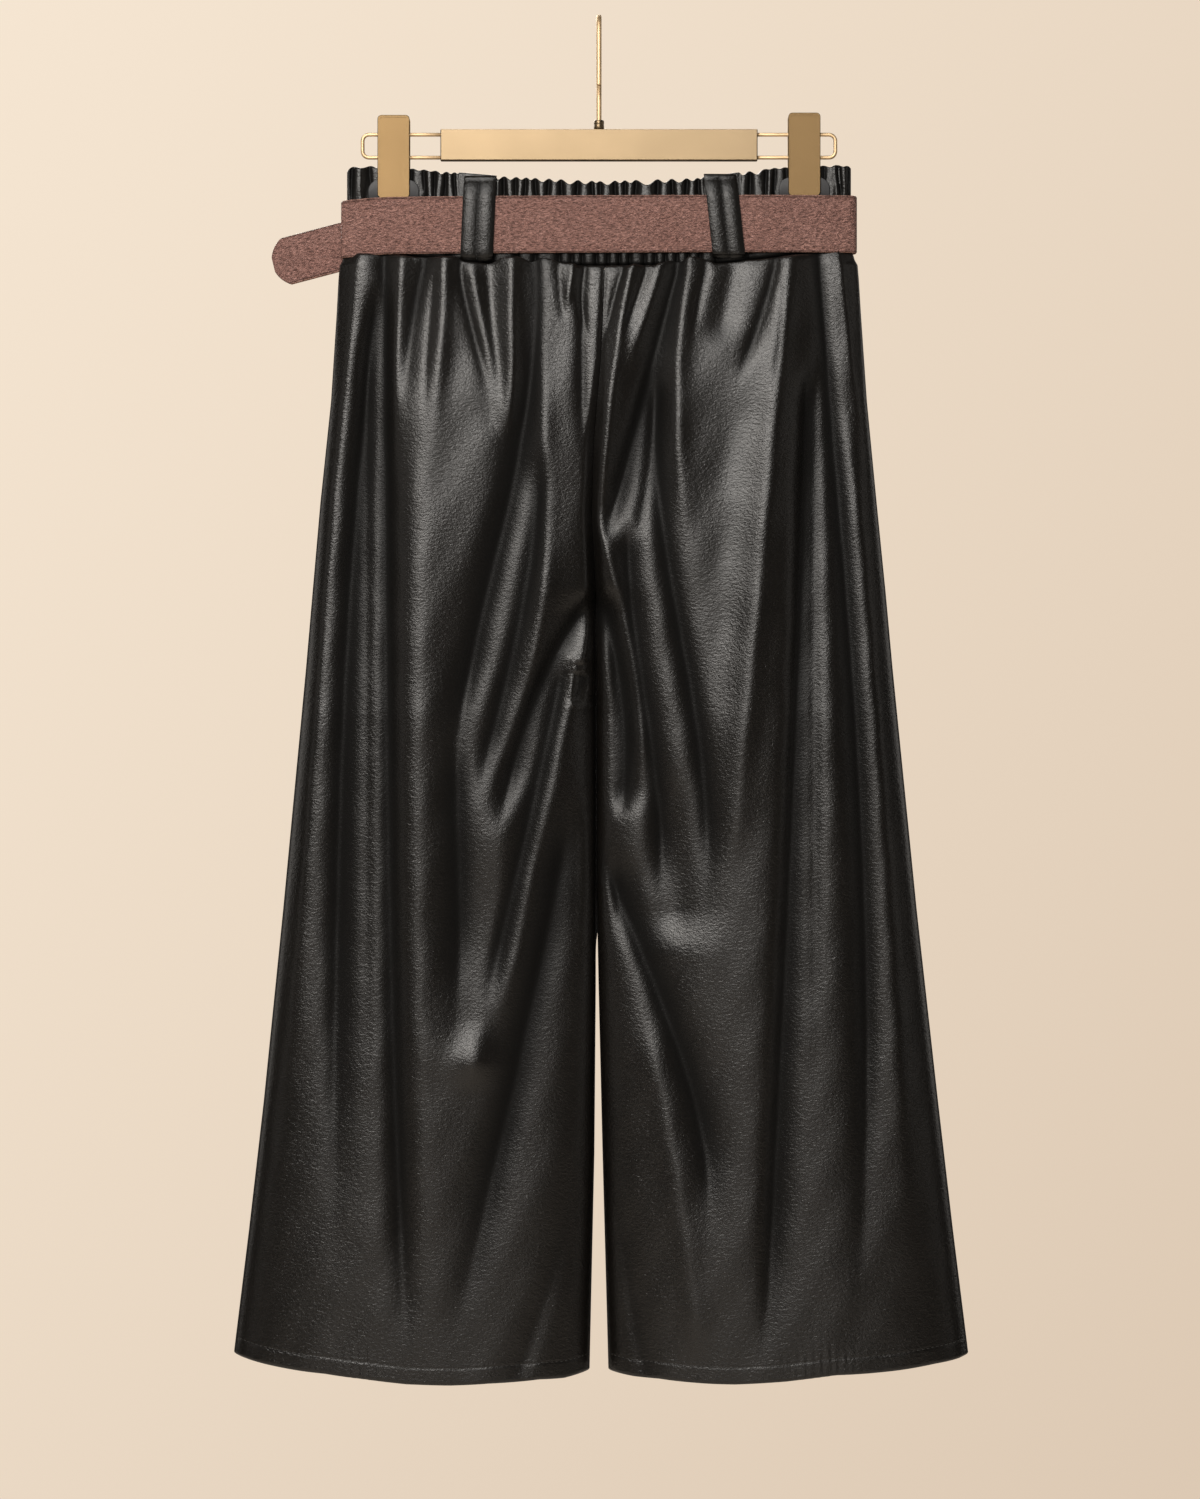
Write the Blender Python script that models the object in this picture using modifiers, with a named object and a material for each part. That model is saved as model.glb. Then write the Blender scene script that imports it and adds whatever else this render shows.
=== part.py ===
"""Wide-leg faux leather trousers, held by the waistband in the clips of a trouser hanger.

Metres, +Z up. The origin is the inside top of the hanger's hook, where a rail bears on it. The back
of the trousers faces -Y, and the wearer's left is at -X. "Drop" is the distance below the origin.
Every cloth piece is an open surface, worked out from the tables below, that Solidify gives its wall.
"""

import math

import bmesh
import bpy
import numpy as np

# ---- Driving dimensions --------------------------------------------------------------------------

GAP = 0.0003                 # between pieces that are sewn or lie together
HALF_GAP = GAP / 2
LEG_WALL = 0.0012            # faux leather
LEG_LIP = 0.0015             # flat strip beside every seam, square to it
LEAST_STAND_OFF = 0.0028     # so that the bottom of a trough stays clear of the layer behind

BAND_WALL = 0.0030           # elastic in a folded casing
BAND_LIP = 0.0034
BAND_HALF_WIDTH = 0.1978
BAND_HALF_DEPTH = 0.0125     # of the waistband's foot and the legs' top edge
BAND_HEIGHT = 0.0660
LENS_POWER = 2.5             # roundness of the flat-hung sections
SEAM_DROP = 0.1930
CROTCH_DROP = 0.5385
CROTCH_EASE = 0.0008         # the seams open a little where all four panels meet
HEM_DROP = 1.0450            # at the outseam
HEM_SAG = 0.0135             # the hem's middle hangs below its corners
HEM_LEAN = 0.0135            # and its inseam corner below its outseam one

GATHER_PITCH = 0.0165
GATHER_HEIGHT = 0.0016
GATHER_SCALLOP = 0.0012

BELT_WIDTH = 0.0450
BELT_WALL = 0.0030
BELT_LAYER = BELT_WALL + GAP
BELT_OFF_BACK = 0.0025       # belt's middle, out from the waistband, on the back
BELT_OFF_FRONT = 0.0044      # and on the front, where the keeper passes under it
BELT_TURN_X = 0.1880         # where the belt starts to turn round the side
BELT_END_X = 0.2010
BELT_TURN_POWER = 0.65       # under 1 for a turn squarer than an ellipse
TAIL_SAG_X = -0.0800         # the tail droops from here,
TAIL_STRAIGHT_X = -0.2020    # is straight from here
TAIL_END_X = -0.2580         # and ends here
TAIL_SLOPE = 0.264
TAIL_LEAVE = 0.0022          # how much further out its free end stands
TAIL_TWIST = math.radians(28)
TIP_RADIUS = 0.0280

LOOP_WIDTH = 0.0255
LOOP_WALL = 0.0013
LOOP_OFF = 0.0006            # where it is stitched to the waistband
LOOP_HALF_X = 0.0130

BUCKLE_WIRE = 0.0040
BUCKLE_HEEL_X = -0.0160
BUCKLE_TOE_X = 0.0245
BUCKLE_CORNER = 0.0030
BUCKLE_WRAP = BUCKLE_WIRE / 2 + BELT_WALL / 2 + 0.0008    # folded end's radius round the heel
HEEL_OFF = BELT_OFF_FRONT + BUCKLE_WRAP                   # heel's middle, out from the waistband
TOE_OFF = HEEL_OFF + 0.0007
PRONG_WIRE = 0.0024
PRONG_HOLE = 0.0060          # width of its hole, and of the slot in the folded end
KEEPER_X = -0.0720
KEEPER_WIDTH = 0.0120
KEEPER_WALL = 0.0015

HOOK_WIRE = 0.0040
FERRULE_RADIUS = 0.0040
FERRULE_DROP = 0.0791
BAR_HALF_LENGTH = 0.1244
BAR_HEIGHT = 0.0245
BAR_DEPTH = 0.0090
BAR_DROP = 0.0864
WIRE = 0.0030
WIRE_TOP_DROP = 0.0903
WIRE_LOW_DROP = 0.1083
WIRE_END_X = 0.1871
WIRE_BEND = 0.0050
SOCKET_DEPTH = 0.0140

CLIP_X = 0.1610
CLIP_WIDTH = 0.0251
CLIP_HEIGHT = 0.0650
CLIP_WALL = 0.0016
CLIP_RIM = 0.0018
CLIP_PAN = 0.0005            # the face's recess inside its rim
CLIP_CORNER = 0.0030
CLIP_HALF_GRIP = 0.0061      # plate's inner face from the middle plane
CLIP_REACH = 0.0240          # the waistband lies flat this far to each side of a clip's middle
PAD_WIDTH = 0.0400
PAD_WALL = 0.0020
PAD_HEIGHT = 0.0150
PAD_CORNER = 0.0090
DRUM_RADIUS = 0.0057
DRUM_LENGTH = 0.0200


def table(columns, rows):
    """A table written a row to a line, as one array for each named column."""
    return dict(zip(columns.split(), np.array(rows, dtype=float).T))


# Outline and section by drop: outseams, how far each face stands off the middle plane, and how far
# the single section of the seat has parted into two legs, from 0 to 1.
BODY = table("drop left right back front parted", [
    (0.181, 0.1978, 0.1978, 0.0125, 0.0125, 0.00),
    (0.188, 0.1984, 0.1990, 0.0125, 0.0125, 0.00),
    (0.196, 0.2035, 0.2030, 0.0145, 0.0140, 0.00),
    (0.230, 0.2058, 0.2055, 0.0195, 0.0180, 0.02),
    (0.300, 0.2103, 0.2103, 0.0250, 0.0230, 0.10),
    (0.380, 0.2187, 0.2180, 0.0285, 0.0265, 0.30),
    (0.450, 0.2248, 0.2250, 0.0300, 0.0280, 0.55),
    (0.510, 0.2300, 0.2305, 0.0310, 0.0290, 0.82),
    (0.545, 0.2333, 0.2340, 0.0315, 0.0295, 1.00),
    (0.700, 0.2480, 0.2495, 0.0320, 0.0300, 1.00),
    (0.850, 0.2632, 0.2662, 0.0335, 0.0310, 1.00),
    (0.950, 0.2747, 0.2778, 0.0350, 0.0320, 1.00),
    (1.060, 0.2882, 0.2915, 0.0360, 0.0330, 1.00),
])

# The centre-back and centre-front seams, and below the crotch each leg's inseam, from the middle.
MIDDLE = table("drop back_seam front_seam left right", [
    (0.181, 0.0050, 0.0000, 0.0020, 0.0020),
    (0.265, 0.0016, 0.0000, 0.0020, 0.0020),
    (0.330, -0.0040, -0.0006, 0.0020, 0.0020),
    (0.390, -0.0058, -0.0016, 0.0020, 0.0020),
    (0.450, -0.0026, -0.0020, 0.0024, -0.0020),
    (0.545, -0.0022, -0.0022, 0.0036, -0.0006),
    (0.760, -0.0022, -0.0022, 0.0032, -0.0002),
    (0.890, -0.0022, -0.0022, 0.0036, 0.0026),
    (1.060, -0.0022, -0.0022, 0.0074, 0.0074),
])

# The seam under the waistband, and the waistband's top edge, which sags between the clips.
SEAM = table("x drop", [
    (-0.1978, 0.1830),
    (-0.1500, 0.1862),
    (-0.1150, 0.1900),
    (-0.0800, 0.1930),
    (0.0000, 0.1945),
    (0.0800, 0.1936),
    (0.1150, 0.1902),
    (0.1500, 0.1858),
    (0.1978, 0.1810),
])
BAND_TOP = table("x drop half_depth", [
    (-0.1978, 0.1165, 0.0042),
    (-0.1860, 0.1154, 0.0042),
    (-0.1830, 0.1154, 0.0035),
    (-0.1390, 0.1187, 0.0035),
    (-0.1300, 0.1202, 0.0060),
    (-0.0780, 0.1248, 0.0085),
    (0.0000, 0.1287, 0.0095),
    (0.0790, 0.1262, 0.0085),
    (0.1290, 0.1190, 0.0060),
    (0.1390, 0.1176, 0.0035),
    (0.1830, 0.1150, 0.0035),
    (0.1860, 0.1146, 0.0042),
    (0.1978, 0.1155, 0.0042),
])

# Largest folds. A row is one soft ridge (height > 0) or trough (height < 0): its x at the top, half
# way and at the bottom, and how far it reaches to each side.
FOLD_COLUMNS = "top low top_x mid_x low_x width height"
FOLDS = {
    ("back", "left"): table(FOLD_COLUMNS, [
        (0.184, 0.560, -0.1735, -0.1870, -0.1990, 0.009, -0.0070),
        (0.184, 0.520, -0.1500, -0.1560, -0.1620, 0.010, 0.0045),
        (0.184, 0.560, -0.1150, -0.1240, -0.1400, 0.015, 0.0070),
        (0.184, 0.600, -0.0520, -0.0640, -0.1180, 0.010, -0.0095),
        (0.186, 0.480, -0.0300, -0.0340, -0.0300, 0.013, 0.0040),
        (0.480, 0.760, -0.0250, -0.0600, -0.0900, 0.012, -0.0070),
        (0.500, 0.860, -0.0220, -0.0480, -0.0900, 0.014, 0.0070),
        (0.580, 1.060, -0.0130, -0.0520, -0.1000, 0.014, -0.0070),
        (0.300, 1.060, -0.1750, -0.1840, -0.1860, 0.013, -0.0060),
        (0.520, 1.060, -0.1540, -0.1460, -0.1360, 0.014, -0.0050),
    ]),
    ("back", "right"): table(FOLD_COLUMNS, [
        (0.186, 0.480, 0.0600, 0.0330, -0.0010, 0.010, -0.0090),
        (0.186, 0.460, 0.0290, 0.0100, 0.0030, 0.009, 0.0045),
        (0.184, 0.520, 0.0722, 0.0600, 0.0840, 0.012, 0.0050),
        (0.184, 0.540, 0.1405, 0.1240, 0.0850, 0.016, 0.0070),
        (0.182, 0.560, 0.1656, 0.1800, 0.1960, 0.009, -0.0080),
        (0.540, 0.760, 0.0540, 0.0620, 0.0700, 0.018, 0.0060),
        (0.600, 1.060, -0.0030, 0.0780, 0.1040, 0.013, -0.0080),
        (0.460, 1.060, 0.1680, 0.1430, 0.1220, 0.014, -0.0060),
        (0.420, 0.860, 0.1900, 0.1980, 0.2300, 0.012, -0.0050),
        (0.560, 0.980, 0.1800, 0.1780, 0.1800, 0.016, 0.0050),
    ]),
    ("front", "left"): table(FOLD_COLUMNS, [
        (0.184, 0.620, -0.1600, -0.1720, -0.1860, 0.016, -0.0060),
        (0.184, 0.700, -0.1080, -0.1180, -0.1340, 0.018, 0.0060),
        (0.186, 0.620, -0.0560, -0.0680, -0.0960, 0.014, -0.0070),
        (0.500, 0.980, -0.0260, -0.0500, -0.0920, 0.018, -0.0060),
        (0.560, 1.060, -0.1500, -0.1560, -0.1640, 0.018, 0.0050),
    ]),
    ("front", "right"): table(FOLD_COLUMNS, [
        (0.184, 0.560, 0.1580, 0.1700, 0.1800, 0.015, -0.0065),
        (0.184, 0.640, 0.1180, 0.1220, 0.1400, 0.018, 0.0055),
        (0.186, 0.600, 0.0480, 0.0640, 0.0900, 0.014, -0.0070),
        (0.520, 1.000, 0.0240, 0.0560, 0.0980, 0.018, -0.0060),
        (0.600, 1.060, 0.1620, 0.1640, 0.1700, 0.018, 0.0050),
    ]),
}

# The belt's middle line, and its runs on the front, where "off" is its middle's distance out from the
# waistband: the end folded under the buckle's heel, the strap that leaves the heel outside it, and
# the tail, from under the toe, over the heel and on to the front left loop.
BELT_LINE = table("x drop", [
    (-0.2020, 0.1654),
    (-0.1700, 0.1630),
    (0.0000, 0.1621),
    (0.2020, 0.1613),
])
SECOND_OFF = BELT_OFF_FRONT + BELT_LAYER
THIRD_OFF = SECOND_OFF + BELT_LAYER
OVER_OFF = BELT_OFF_FRONT + 2 * BUCKLE_WRAP
FOLDED_END = table("x off", [
    (-0.0520, BELT_OFF_FRONT),
    (-0.0400, BELT_OFF_FRONT),
    (-0.0300, BELT_OFF_FRONT),
    (-0.0220, BELT_OFF_FRONT),
    (BUCKLE_HEEL_X, BELT_OFF_FRONT),
])
STRAP_FROM_BUCKLE = table("x off", [
    (BUCKLE_HEEL_X, OVER_OFF),
    (-0.0220, OVER_OFF - 0.0004),
    (-0.0320, SECOND_OFF + 0.0023),
    (-0.0420, SECOND_OFF + 0.0003),
    (-0.0540, SECOND_OFF),
    (-0.0660, BELT_OFF_FRONT),
    (-0.0800, BELT_OFF_FRONT),
    (-0.1100, BELT_OFF_FRONT),
    (-0.1500, BELT_OFF_FRONT),
    (-BELT_TURN_X, BELT_OFF_FRONT),
])
STRAP_TO_BUCKLE = table("x off", [
    (BELT_TURN_X, BELT_OFF_FRONT),
    (0.1500, BELT_OFF_FRONT),
    (0.1100, BELT_OFF_FRONT),
    (0.0750, BELT_OFF_FRONT),
    (0.0450, BELT_OFF_FRONT),
    (0.0300, BELT_OFF_FRONT + 0.0001),
    (0.0220, BELT_OFF_FRONT + 0.0004),
    (0.0140, HEEL_OFF - 0.0037),
    (0.0085, HEEL_OFF - 0.0014),
])
TAIL_FROM_HOLE = table("x off", [
    (-0.0005, HEEL_OFF + 0.0050),
    (-0.0060, HEEL_OFF + 0.0069),
    (BUCKLE_HEEL_X, OVER_OFF + BELT_LAYER),
    (-0.0240, OVER_OFF + BELT_LAYER - 0.0003),
    (-0.0340, THIRD_OFF + 0.0018),
    (-0.0420, THIRD_OFF + 0.0003),
    (-0.0540, THIRD_OFF),
    (-0.0660, SECOND_OFF),
    (-0.0800, SECOND_OFF),
    (-0.0960, SECOND_OFF),
    (-0.1120, SECOND_OFF),
])
TAIL_X = (-0.130, -0.150, -0.170, -0.188, -0.204, -0.220, -0.234, -0.246, -0.251, -0.255, -0.2572)

# Belt loops: the strip's middle at its top and foot, their drops, and how far out the belt under it is.
LOOPS = {
    "belt_loop_back_left": ("back", -0.0928, -0.0958, 0.1236, 0.1903, BELT_OFF_BACK),
    "belt_loop_back_right": ("back", 0.0947, 0.1017, 0.1222, 0.1876, BELT_OFF_BACK),
    "belt_loop_front_left": ("front", -0.0980, -0.0980, 0.1240, 0.1895, SECOND_OFF),
    "belt_loop_front_right": ("front", 0.0980, 0.0980, 0.1228, 0.1880, BELT_OFF_FRONT),
}

# The hook's wire in its own plane, from the free end over the rail to the stem.
HOOK = table("y drop", [
    (-0.0230, 0.0557),
    (-0.0220, 0.0400),
    (-0.0203, 0.0185),
    (-0.0143, 0.0042),
    (0.0000, -HOOK_WIRE / 2),
    (0.0143, 0.0042),
    (0.0203, 0.0185),
    (0.0180, 0.0340),
    (0.0085, 0.0490),
    (0.0012, 0.0600),
    (0.0000, 0.0700),
    (0.0000, 0.0860),
])

CLIP_TOP_DROP = {"left": 0.0758, "right": 0.0740}
FACES = {"back": -1.0, "front": 1.0}       # sign of y
SIDES = {"left": -1.0, "right": 1.0}       # sign of x


# ---- Small helpers -------------------------------------------------------------------------------

def read(source, column, at, by="drop"):
    """A table's column, read between its rows."""
    return np.interp(at, source[by], source[column])


def smooth(t):
    """0 below 0, 1 above 1, and an S curve between."""
    t = np.clip(t, 0.0, 1.0)
    return t * t * (3.0 - 2.0 * t)


def lens(u):
    """A flat-hung section's half depth across it: 1 in the middle (u = 0), 0 at its fold (u = 1)."""
    return (1.0 - np.clip(np.abs(u), 0.0, 1.0) ** LENS_POWER) ** (1.0 / LENS_POWER)


def relief(folds, x, drop):
    """Sum of the folds: a bell across each path, faded in and out along it."""
    total = np.zeros_like(x)
    for top, low, top_x, mid_x, low_x, width, height in zip(*folds.values()):
        t = (drop - top) / (low - top)
        path = top_x * (1 - t) * (1 - 2 * t) + mid_x * 4 * t * (1 - t) + low_x * t * (2 * t - 1)
        along = smooth(t / 0.15) * smooth((1 - t) / 0.30)
        total += height * np.exp(-((x - path) / width) ** 2) * along
    return total


# ---- Scene, collections and materials ------------------------------------------------------------

for old in list(bpy.data.objects):
    bpy.data.objects.remove(old, do_unlink=True)

parts = bpy.data.collections.new("faux_leather_trousers")
cutters = bpy.data.collections.new("cutters")
bpy.context.scene.collection.children.link(parts)
bpy.context.scene.collection.children.link(cutters)


def material(name, colour, roughness, metallic=0.0):
    made = bpy.data.materials.new(name)
    made.use_nodes = True
    shader = made.node_tree.nodes["Principled BSDF"]
    shader.inputs["Base Color"].default_value = (*colour, 1.0)
    shader.inputs["Roughness"].default_value = roughness
    shader.inputs["Metallic"].default_value = metallic
    return made


FAUX_LEATHER = material("faux_leather", (0.020, 0.019, 0.018), 0.42)
BELT_LEATHER = material("belt_leather", (0.150, 0.075, 0.062), 0.55)
SATIN_GOLD = material("satin_gold", (0.620, 0.420, 0.200), 0.32, 1.0)
RUBBER = material("rubber", (0.060, 0.060, 0.060), 0.70)


def add(name, data, finish=None, collection=parts):
    made = bpy.data.objects.new(name, data)
    collection.objects.link(made)
    if finish is not None:
        data.materials.append(finish)
    return made


def sheet(name, points, wall, finish, offset=-1.0, closed=False, holes=()):
    """A wall on a grid of points (rows x columns x 3), whose outside is seen with the rows going
    down and the columns to the right. A closed sheet joins its last column to its first."""
    rows, columns = points.shape[:2]
    index = np.arange(rows * columns).reshape(rows, columns)
    if closed:
        index = np.concatenate([index, index[:, :1]], axis=1)
    corners = [index[:-1, :-1], index[1:, :-1], index[1:, 1:], index[:-1, 1:]]
    quads = np.stack(corners, axis=-1)
    keep = np.ones(quads.shape[:2], dtype=bool)
    for row, column in holes:
        keep[row, column] = False
    mesh = bpy.data.meshes.new(name)
    mesh.from_pydata(points.reshape(-1, 3).tolist(), [], quads[keep].tolist())
    mesh.shade_smooth()
    body = add(name, mesh, finish)
    shell = body.modifiers.new("wall", "SOLIDIFY")
    shell.thickness = wall
    shell.offset = offset


def wire(name, path, diameter, finish, closed=False, spline="POLY"):
    """A round wire along a path of points."""
    curve = bpy.data.curves.new(name, "CURVE")
    curve.dimensions = "3D"
    curve.bevel_depth = diameter / 2
    curve.bevel_resolution = 2
    curve.resolution_u = 4
    curve.use_fill_caps = True
    line = curve.splines.new(spline)
    if spline == "BEZIER":
        line.bezier_points.add(len(path) - 1)
        for point, place in zip(line.bezier_points, path):
            point.co = place
            point.handle_left_type = "AUTO"
            point.handle_right_type = "AUTO"
    else:
        line.points.add(len(path) - 1)
        for point, place in zip(line.points, path):
            point.co = (*place, 1.0)
    line.use_cyclic_u = closed
    add(name, curve, finish)


def rod(name, radius, length, place, segments, finish=None, collection=parts):
    """A round rod along X."""
    mesh = bpy.data.meshes.new(name)
    shape = bmesh.new()
    bmesh.ops.create_cone(shape, cap_ends=True, segments=segments, radius1=radius, radius2=radius,
                          depth=length)
    shape.to_mesh(mesh)
    shape.free()
    made = add(name, mesh, finish, collection)
    made.rotation_euler = (0.0, math.radians(90), 0.0)
    made.location = place
    return made


def rounded_rectangle(width, height, corner, steps=4):
    """Points round a rectangle with round corners, anticlockwise from its lower right."""
    ring = []
    for quarter, (sx, sy) in enumerate([(1, -1), (1, 1), (-1, 1), (-1, -1)]):
        for step in range(steps + 1):
            angle = math.radians(90 * (quarter - 1 + step / steps))
            ring.append((sx * (width / 2 - corner) + corner * math.cos(angle),
                         sy * (height / 2 - corner) + corner * math.sin(angle)))
    return ring


# ---- Legs ----------------------------------------------------------------------------------------

def leg_rows(above, below):
    """Drops of a panel's rows: a flat lip under the seam, then rows to the crotch and to the hem."""
    to_crotch = np.linspace(SEAM_DROP + 0.012, CROTCH_DROP - 0.009, above)
    to_hem = np.linspace(CROTCH_DROP + 0.006, HEM_DROP, below)
    return np.concatenate([[SEAM_DROP, SEAM_DROP + 0.004], to_crotch, to_hem])


def leg_columns(count):
    """Fractions of the way from the middle edge to the outseam, closer together at both, with each
    end doubled for its lip."""
    t = np.linspace(0.0, 1.0, count)
    spread = 0.5 * t + 0.25 * (1.0 - np.cos(math.pi * t))
    return np.concatenate([[0.0], spread, [1.0]])


def leg_panel(face, side, across, above, below):
    """One leg panel, from the centre seam and inseam (first column) to the outseam (last)."""
    s, row = np.meshgrid(leg_columns(across), leg_rows(above, below))
    y_sign = FACES[face]
    x_sign = SIDES[side]

    # Drops: the top row follows the seam under the waistband, and the last one the hem's sag.
    seam_start = read(MIDDLE, face + "_seam", SEAM_DROP)
    seam_x = seam_start + (x_sign * BAND_HALF_WIDTH - seam_start) * s
    seam_shift = read(SEAM, "drop", seam_x, by="x") + GAP - SEAM_DROP
    sag = HEM_SAG * (1.0 - np.abs(2.0 * s - 1.0) ** 2.8) + HEM_LEAN * (1.0 - s)
    drop = row + seam_shift * (1.0 - smooth((row - SEAM_DROP) / 0.08))
    drop += sag * smooth((row - 0.80) / (HEM_DROP - 0.80))

    # Across: from the centre seam, or below the crotch from the inseam, to the outseam.
    below_crotch = row > CROTCH_DROP
    centre_x = read(MIDDLE, face + "_seam", drop) + x_sign * HALF_GAP
    middle_x = np.where(below_crotch, x_sign * read(MIDDLE, side, drop), centre_x)
    outer_x = x_sign * read(BODY, side, drop)
    x = middle_x + (outer_x - middle_x) * s

    # Out from the middle plane: one section through the seat parts into a section for each leg.
    parted = read(BODY, "parted", drop)
    base = read(BODY, face, drop) * ((1.0 - parted) * lens(s) + parted * lens(2.0 * s - 1.0))
    edge_fade = smooth((1.0 - s) / 0.06) * (1.0 - parted * (1.0 - smooth(s / 0.06)))
    stand_off = base + relief(FOLDS[face, side], x, drop) * edge_fade
    stand_off = np.maximum(stand_off, LEAST_STAND_OFF)
    points = np.stack([x, y_sign * stand_off, -drop], axis=-1)

    # Outseam and inseam: lips square to the other panel's. Centre seam: square to the other leg's.
    points[:, -1, 1] = y_sign * HALF_GAP
    points[:, -2, 1] = y_sign * (HALF_GAP + LEG_LIP)
    above_rows = ~below_crotch[:, 0]
    below_rows = below_crotch[:, 0]
    points[above_rows, 1, 0] += x_sign * LEG_LIP
    inseam_gap = HALF_GAP + CROTCH_EASE * np.exp(-((row[:, 0] - CROTCH_DROP) / 0.012) ** 2)
    points[below_rows, 0, 1] = y_sign * inseam_gap[below_rows]
    points[below_rows, 1, 1] = y_sign * (inseam_gap[below_rows] + LEG_LIP)

    # Top edge: a lip straight down, so that the wall's end stays square to the waistband's.
    points[1, :, :2] = points[0, :, :2]

    if x_sign * y_sign > 0:
        points = points[:, ::-1]
    sheet("leg_" + face + "_" + side, points, LEG_WALL, FAUX_LEATHER)


# ---- Waistband -----------------------------------------------------------------------------------

def band_foot(x):
    """How far the waistband's foot stands off the middle plane."""
    return np.maximum(BAND_HALF_DEPTH * lens(x / BAND_HALF_WIDTH), 0.0042)


def near_clip(x, reach=CLIP_REACH):
    """1 where a clip holds the waistband flat, 0 well away from both clips."""
    return 1.0 - smooth((np.abs(np.abs(x) - CLIP_X) - reach) / 0.010)


def band_stand_off(x, level):
    """The waistband's surface, out from the middle plane: level is 0 at its top and 1 at its foot."""
    head = read(BAND_TOP, "half_depth", x, by="x")
    ease = smooth((level - 0.42 * near_clip(x)) / 0.40)
    return head + (band_foot(x) - head) * ease


def waistband(face):
    """One side's casing: gathered and scalloped above the belt, smooth behind it."""
    y_sign = FACES[face]
    u = np.linspace(-1.0, 1.0, 77)
    spread = BAND_HALF_WIDTH * (0.75 * u + 0.25 * np.sin(0.5 * math.pi * u))
    columns = np.concatenate([spread[:1], spread, spread[-1:]])
    x, level = np.meshgrid(columns, np.array([0.0, 0.10, 0.40, 0.84, 1.0]))

    near_loop = 1.0 - smooth((np.abs(np.abs(x) - 0.097) - LOOP_HALF_X - 0.004) / 0.008)
    at_side = 1.0 - smooth((BAND_HALF_WIDTH - np.abs(x)) / 0.010)
    plain = (1.0 - near_clip(x)) * (1.0 - near_loop) * (1.0 - at_side)
    wave = (0.5 + 0.5 * np.cos(2.0 * math.pi * x / GATHER_PITCH)) * plain

    top = read(BAND_TOP, "drop", x, by="x") - GATHER_SCALLOP * wave
    foot = read(SEAM, "drop", x, by="x") - GAP
    drop = top + (foot - top) * level
    stand_off = band_stand_off(x, level) + GATHER_HEIGHT * wave * (1.0 - smooth(level / 0.40))

    points = np.stack([x, y_sign * stand_off, -drop], axis=-1)
    points[:, [0, -1], 1] = y_sign * HALF_GAP
    points[:, [1, -2], 1] = y_sign * (HALF_GAP + BAND_LIP)
    if y_sign > 0:
        points = points[:, ::-1]
    sheet("waistband_" + face, points, BAND_WALL, FAUX_LEATHER)


# ---- Belt and its loops --------------------------------------------------------------------------

def belt_run(y_sign, x, off):
    """Stations of the belt's middle line on one side, standing off the waistband."""
    y = y_sign * (band_foot(x) + off)
    return np.stack([x, y, -read(BELT_LINE, "drop", x, by="x")], axis=-1)


def belt_turn(x_sign, y_from, y_to, steps=9):
    """Half a squarish ellipse round the waistband's side."""
    angle = np.linspace(0.0, math.pi, steps + 2)[1:-1]
    x = x_sign * (BELT_TURN_X + (BELT_END_X - BELT_TURN_X) * np.sin(angle) ** BELT_TURN_POWER)
    beside = np.sign(np.cos(angle)) * np.abs(np.cos(angle)) ** BELT_TURN_POWER
    y = (y_from + y_to) / 2 + (y_from - y_to) / 2 * beside
    return np.stack([x, y, -read(BELT_LINE, "drop", x, by="x")], axis=-1)


def belt_tail(y_start, x_start):
    """The free end, past the front left loop: it droops, then runs on straight."""
    x = np.array(TAIL_X)
    reach = TAIL_SAG_X - TAIL_STRAIGHT_X
    t = (TAIL_SAG_X - x) / reach
    sink = TAIL_SLOPE * reach * np.where(t < 1.0, 0.5 * t ** 2, t - 0.5)
    y = y_start + TAIL_LEAVE * smooth((x_start - x) / 0.090)
    return np.stack([x, y, -read(BELT_LINE, "drop", TAIL_SAG_X, by="x") - sink], axis=-1)


def belt_path():
    """The strap's middle line, from its folded end to its tip, and the columns of its slot and hole."""
    folded = belt_run(1, FOLDED_END["x"], FOLDED_END["off"])
    heel = folded[-1]
    angle = np.radians([30, 60, 90, 120, 150])
    round_heel = np.stack([heel[0] + BUCKLE_WRAP * np.sin(angle),
                           heel[1] + BUCKLE_WRAP * (1.0 - np.cos(angle)),
                           np.full(5, heel[2])], axis=-1)
    front_left = belt_run(1, STRAP_FROM_BUCKLE["x"], STRAP_FROM_BUCKLE["off"])
    back = belt_run(-1, np.linspace(-BELT_TURN_X, BELT_TURN_X, 17), BELT_OFF_BACK)
    front_right = belt_run(1, STRAP_TO_BUCKLE["x"], STRAP_TO_BUCKLE["off"])
    over = belt_run(1, TAIL_FROM_HOLE["x"], TAIL_FROM_HOLE["off"])
    left_turn = belt_turn(-1, front_left[-1, 1], back[0, 1])
    right_turn = belt_turn(1, back[-1, 1], front_right[0, 1])
    tail = belt_tail(over[-1, 1], over[-1, 0])
    runs = [folded, round_heel, front_left, left_turn, back, right_turn, front_right, over, tail]
    slot = range(len(folded) - 3, len(folded) + len(round_heel) + 2)
    prong_hole = sum(len(run) for run in runs[:7]) - 1
    return np.concatenate(runs), list(slot) + [prong_hole]


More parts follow.
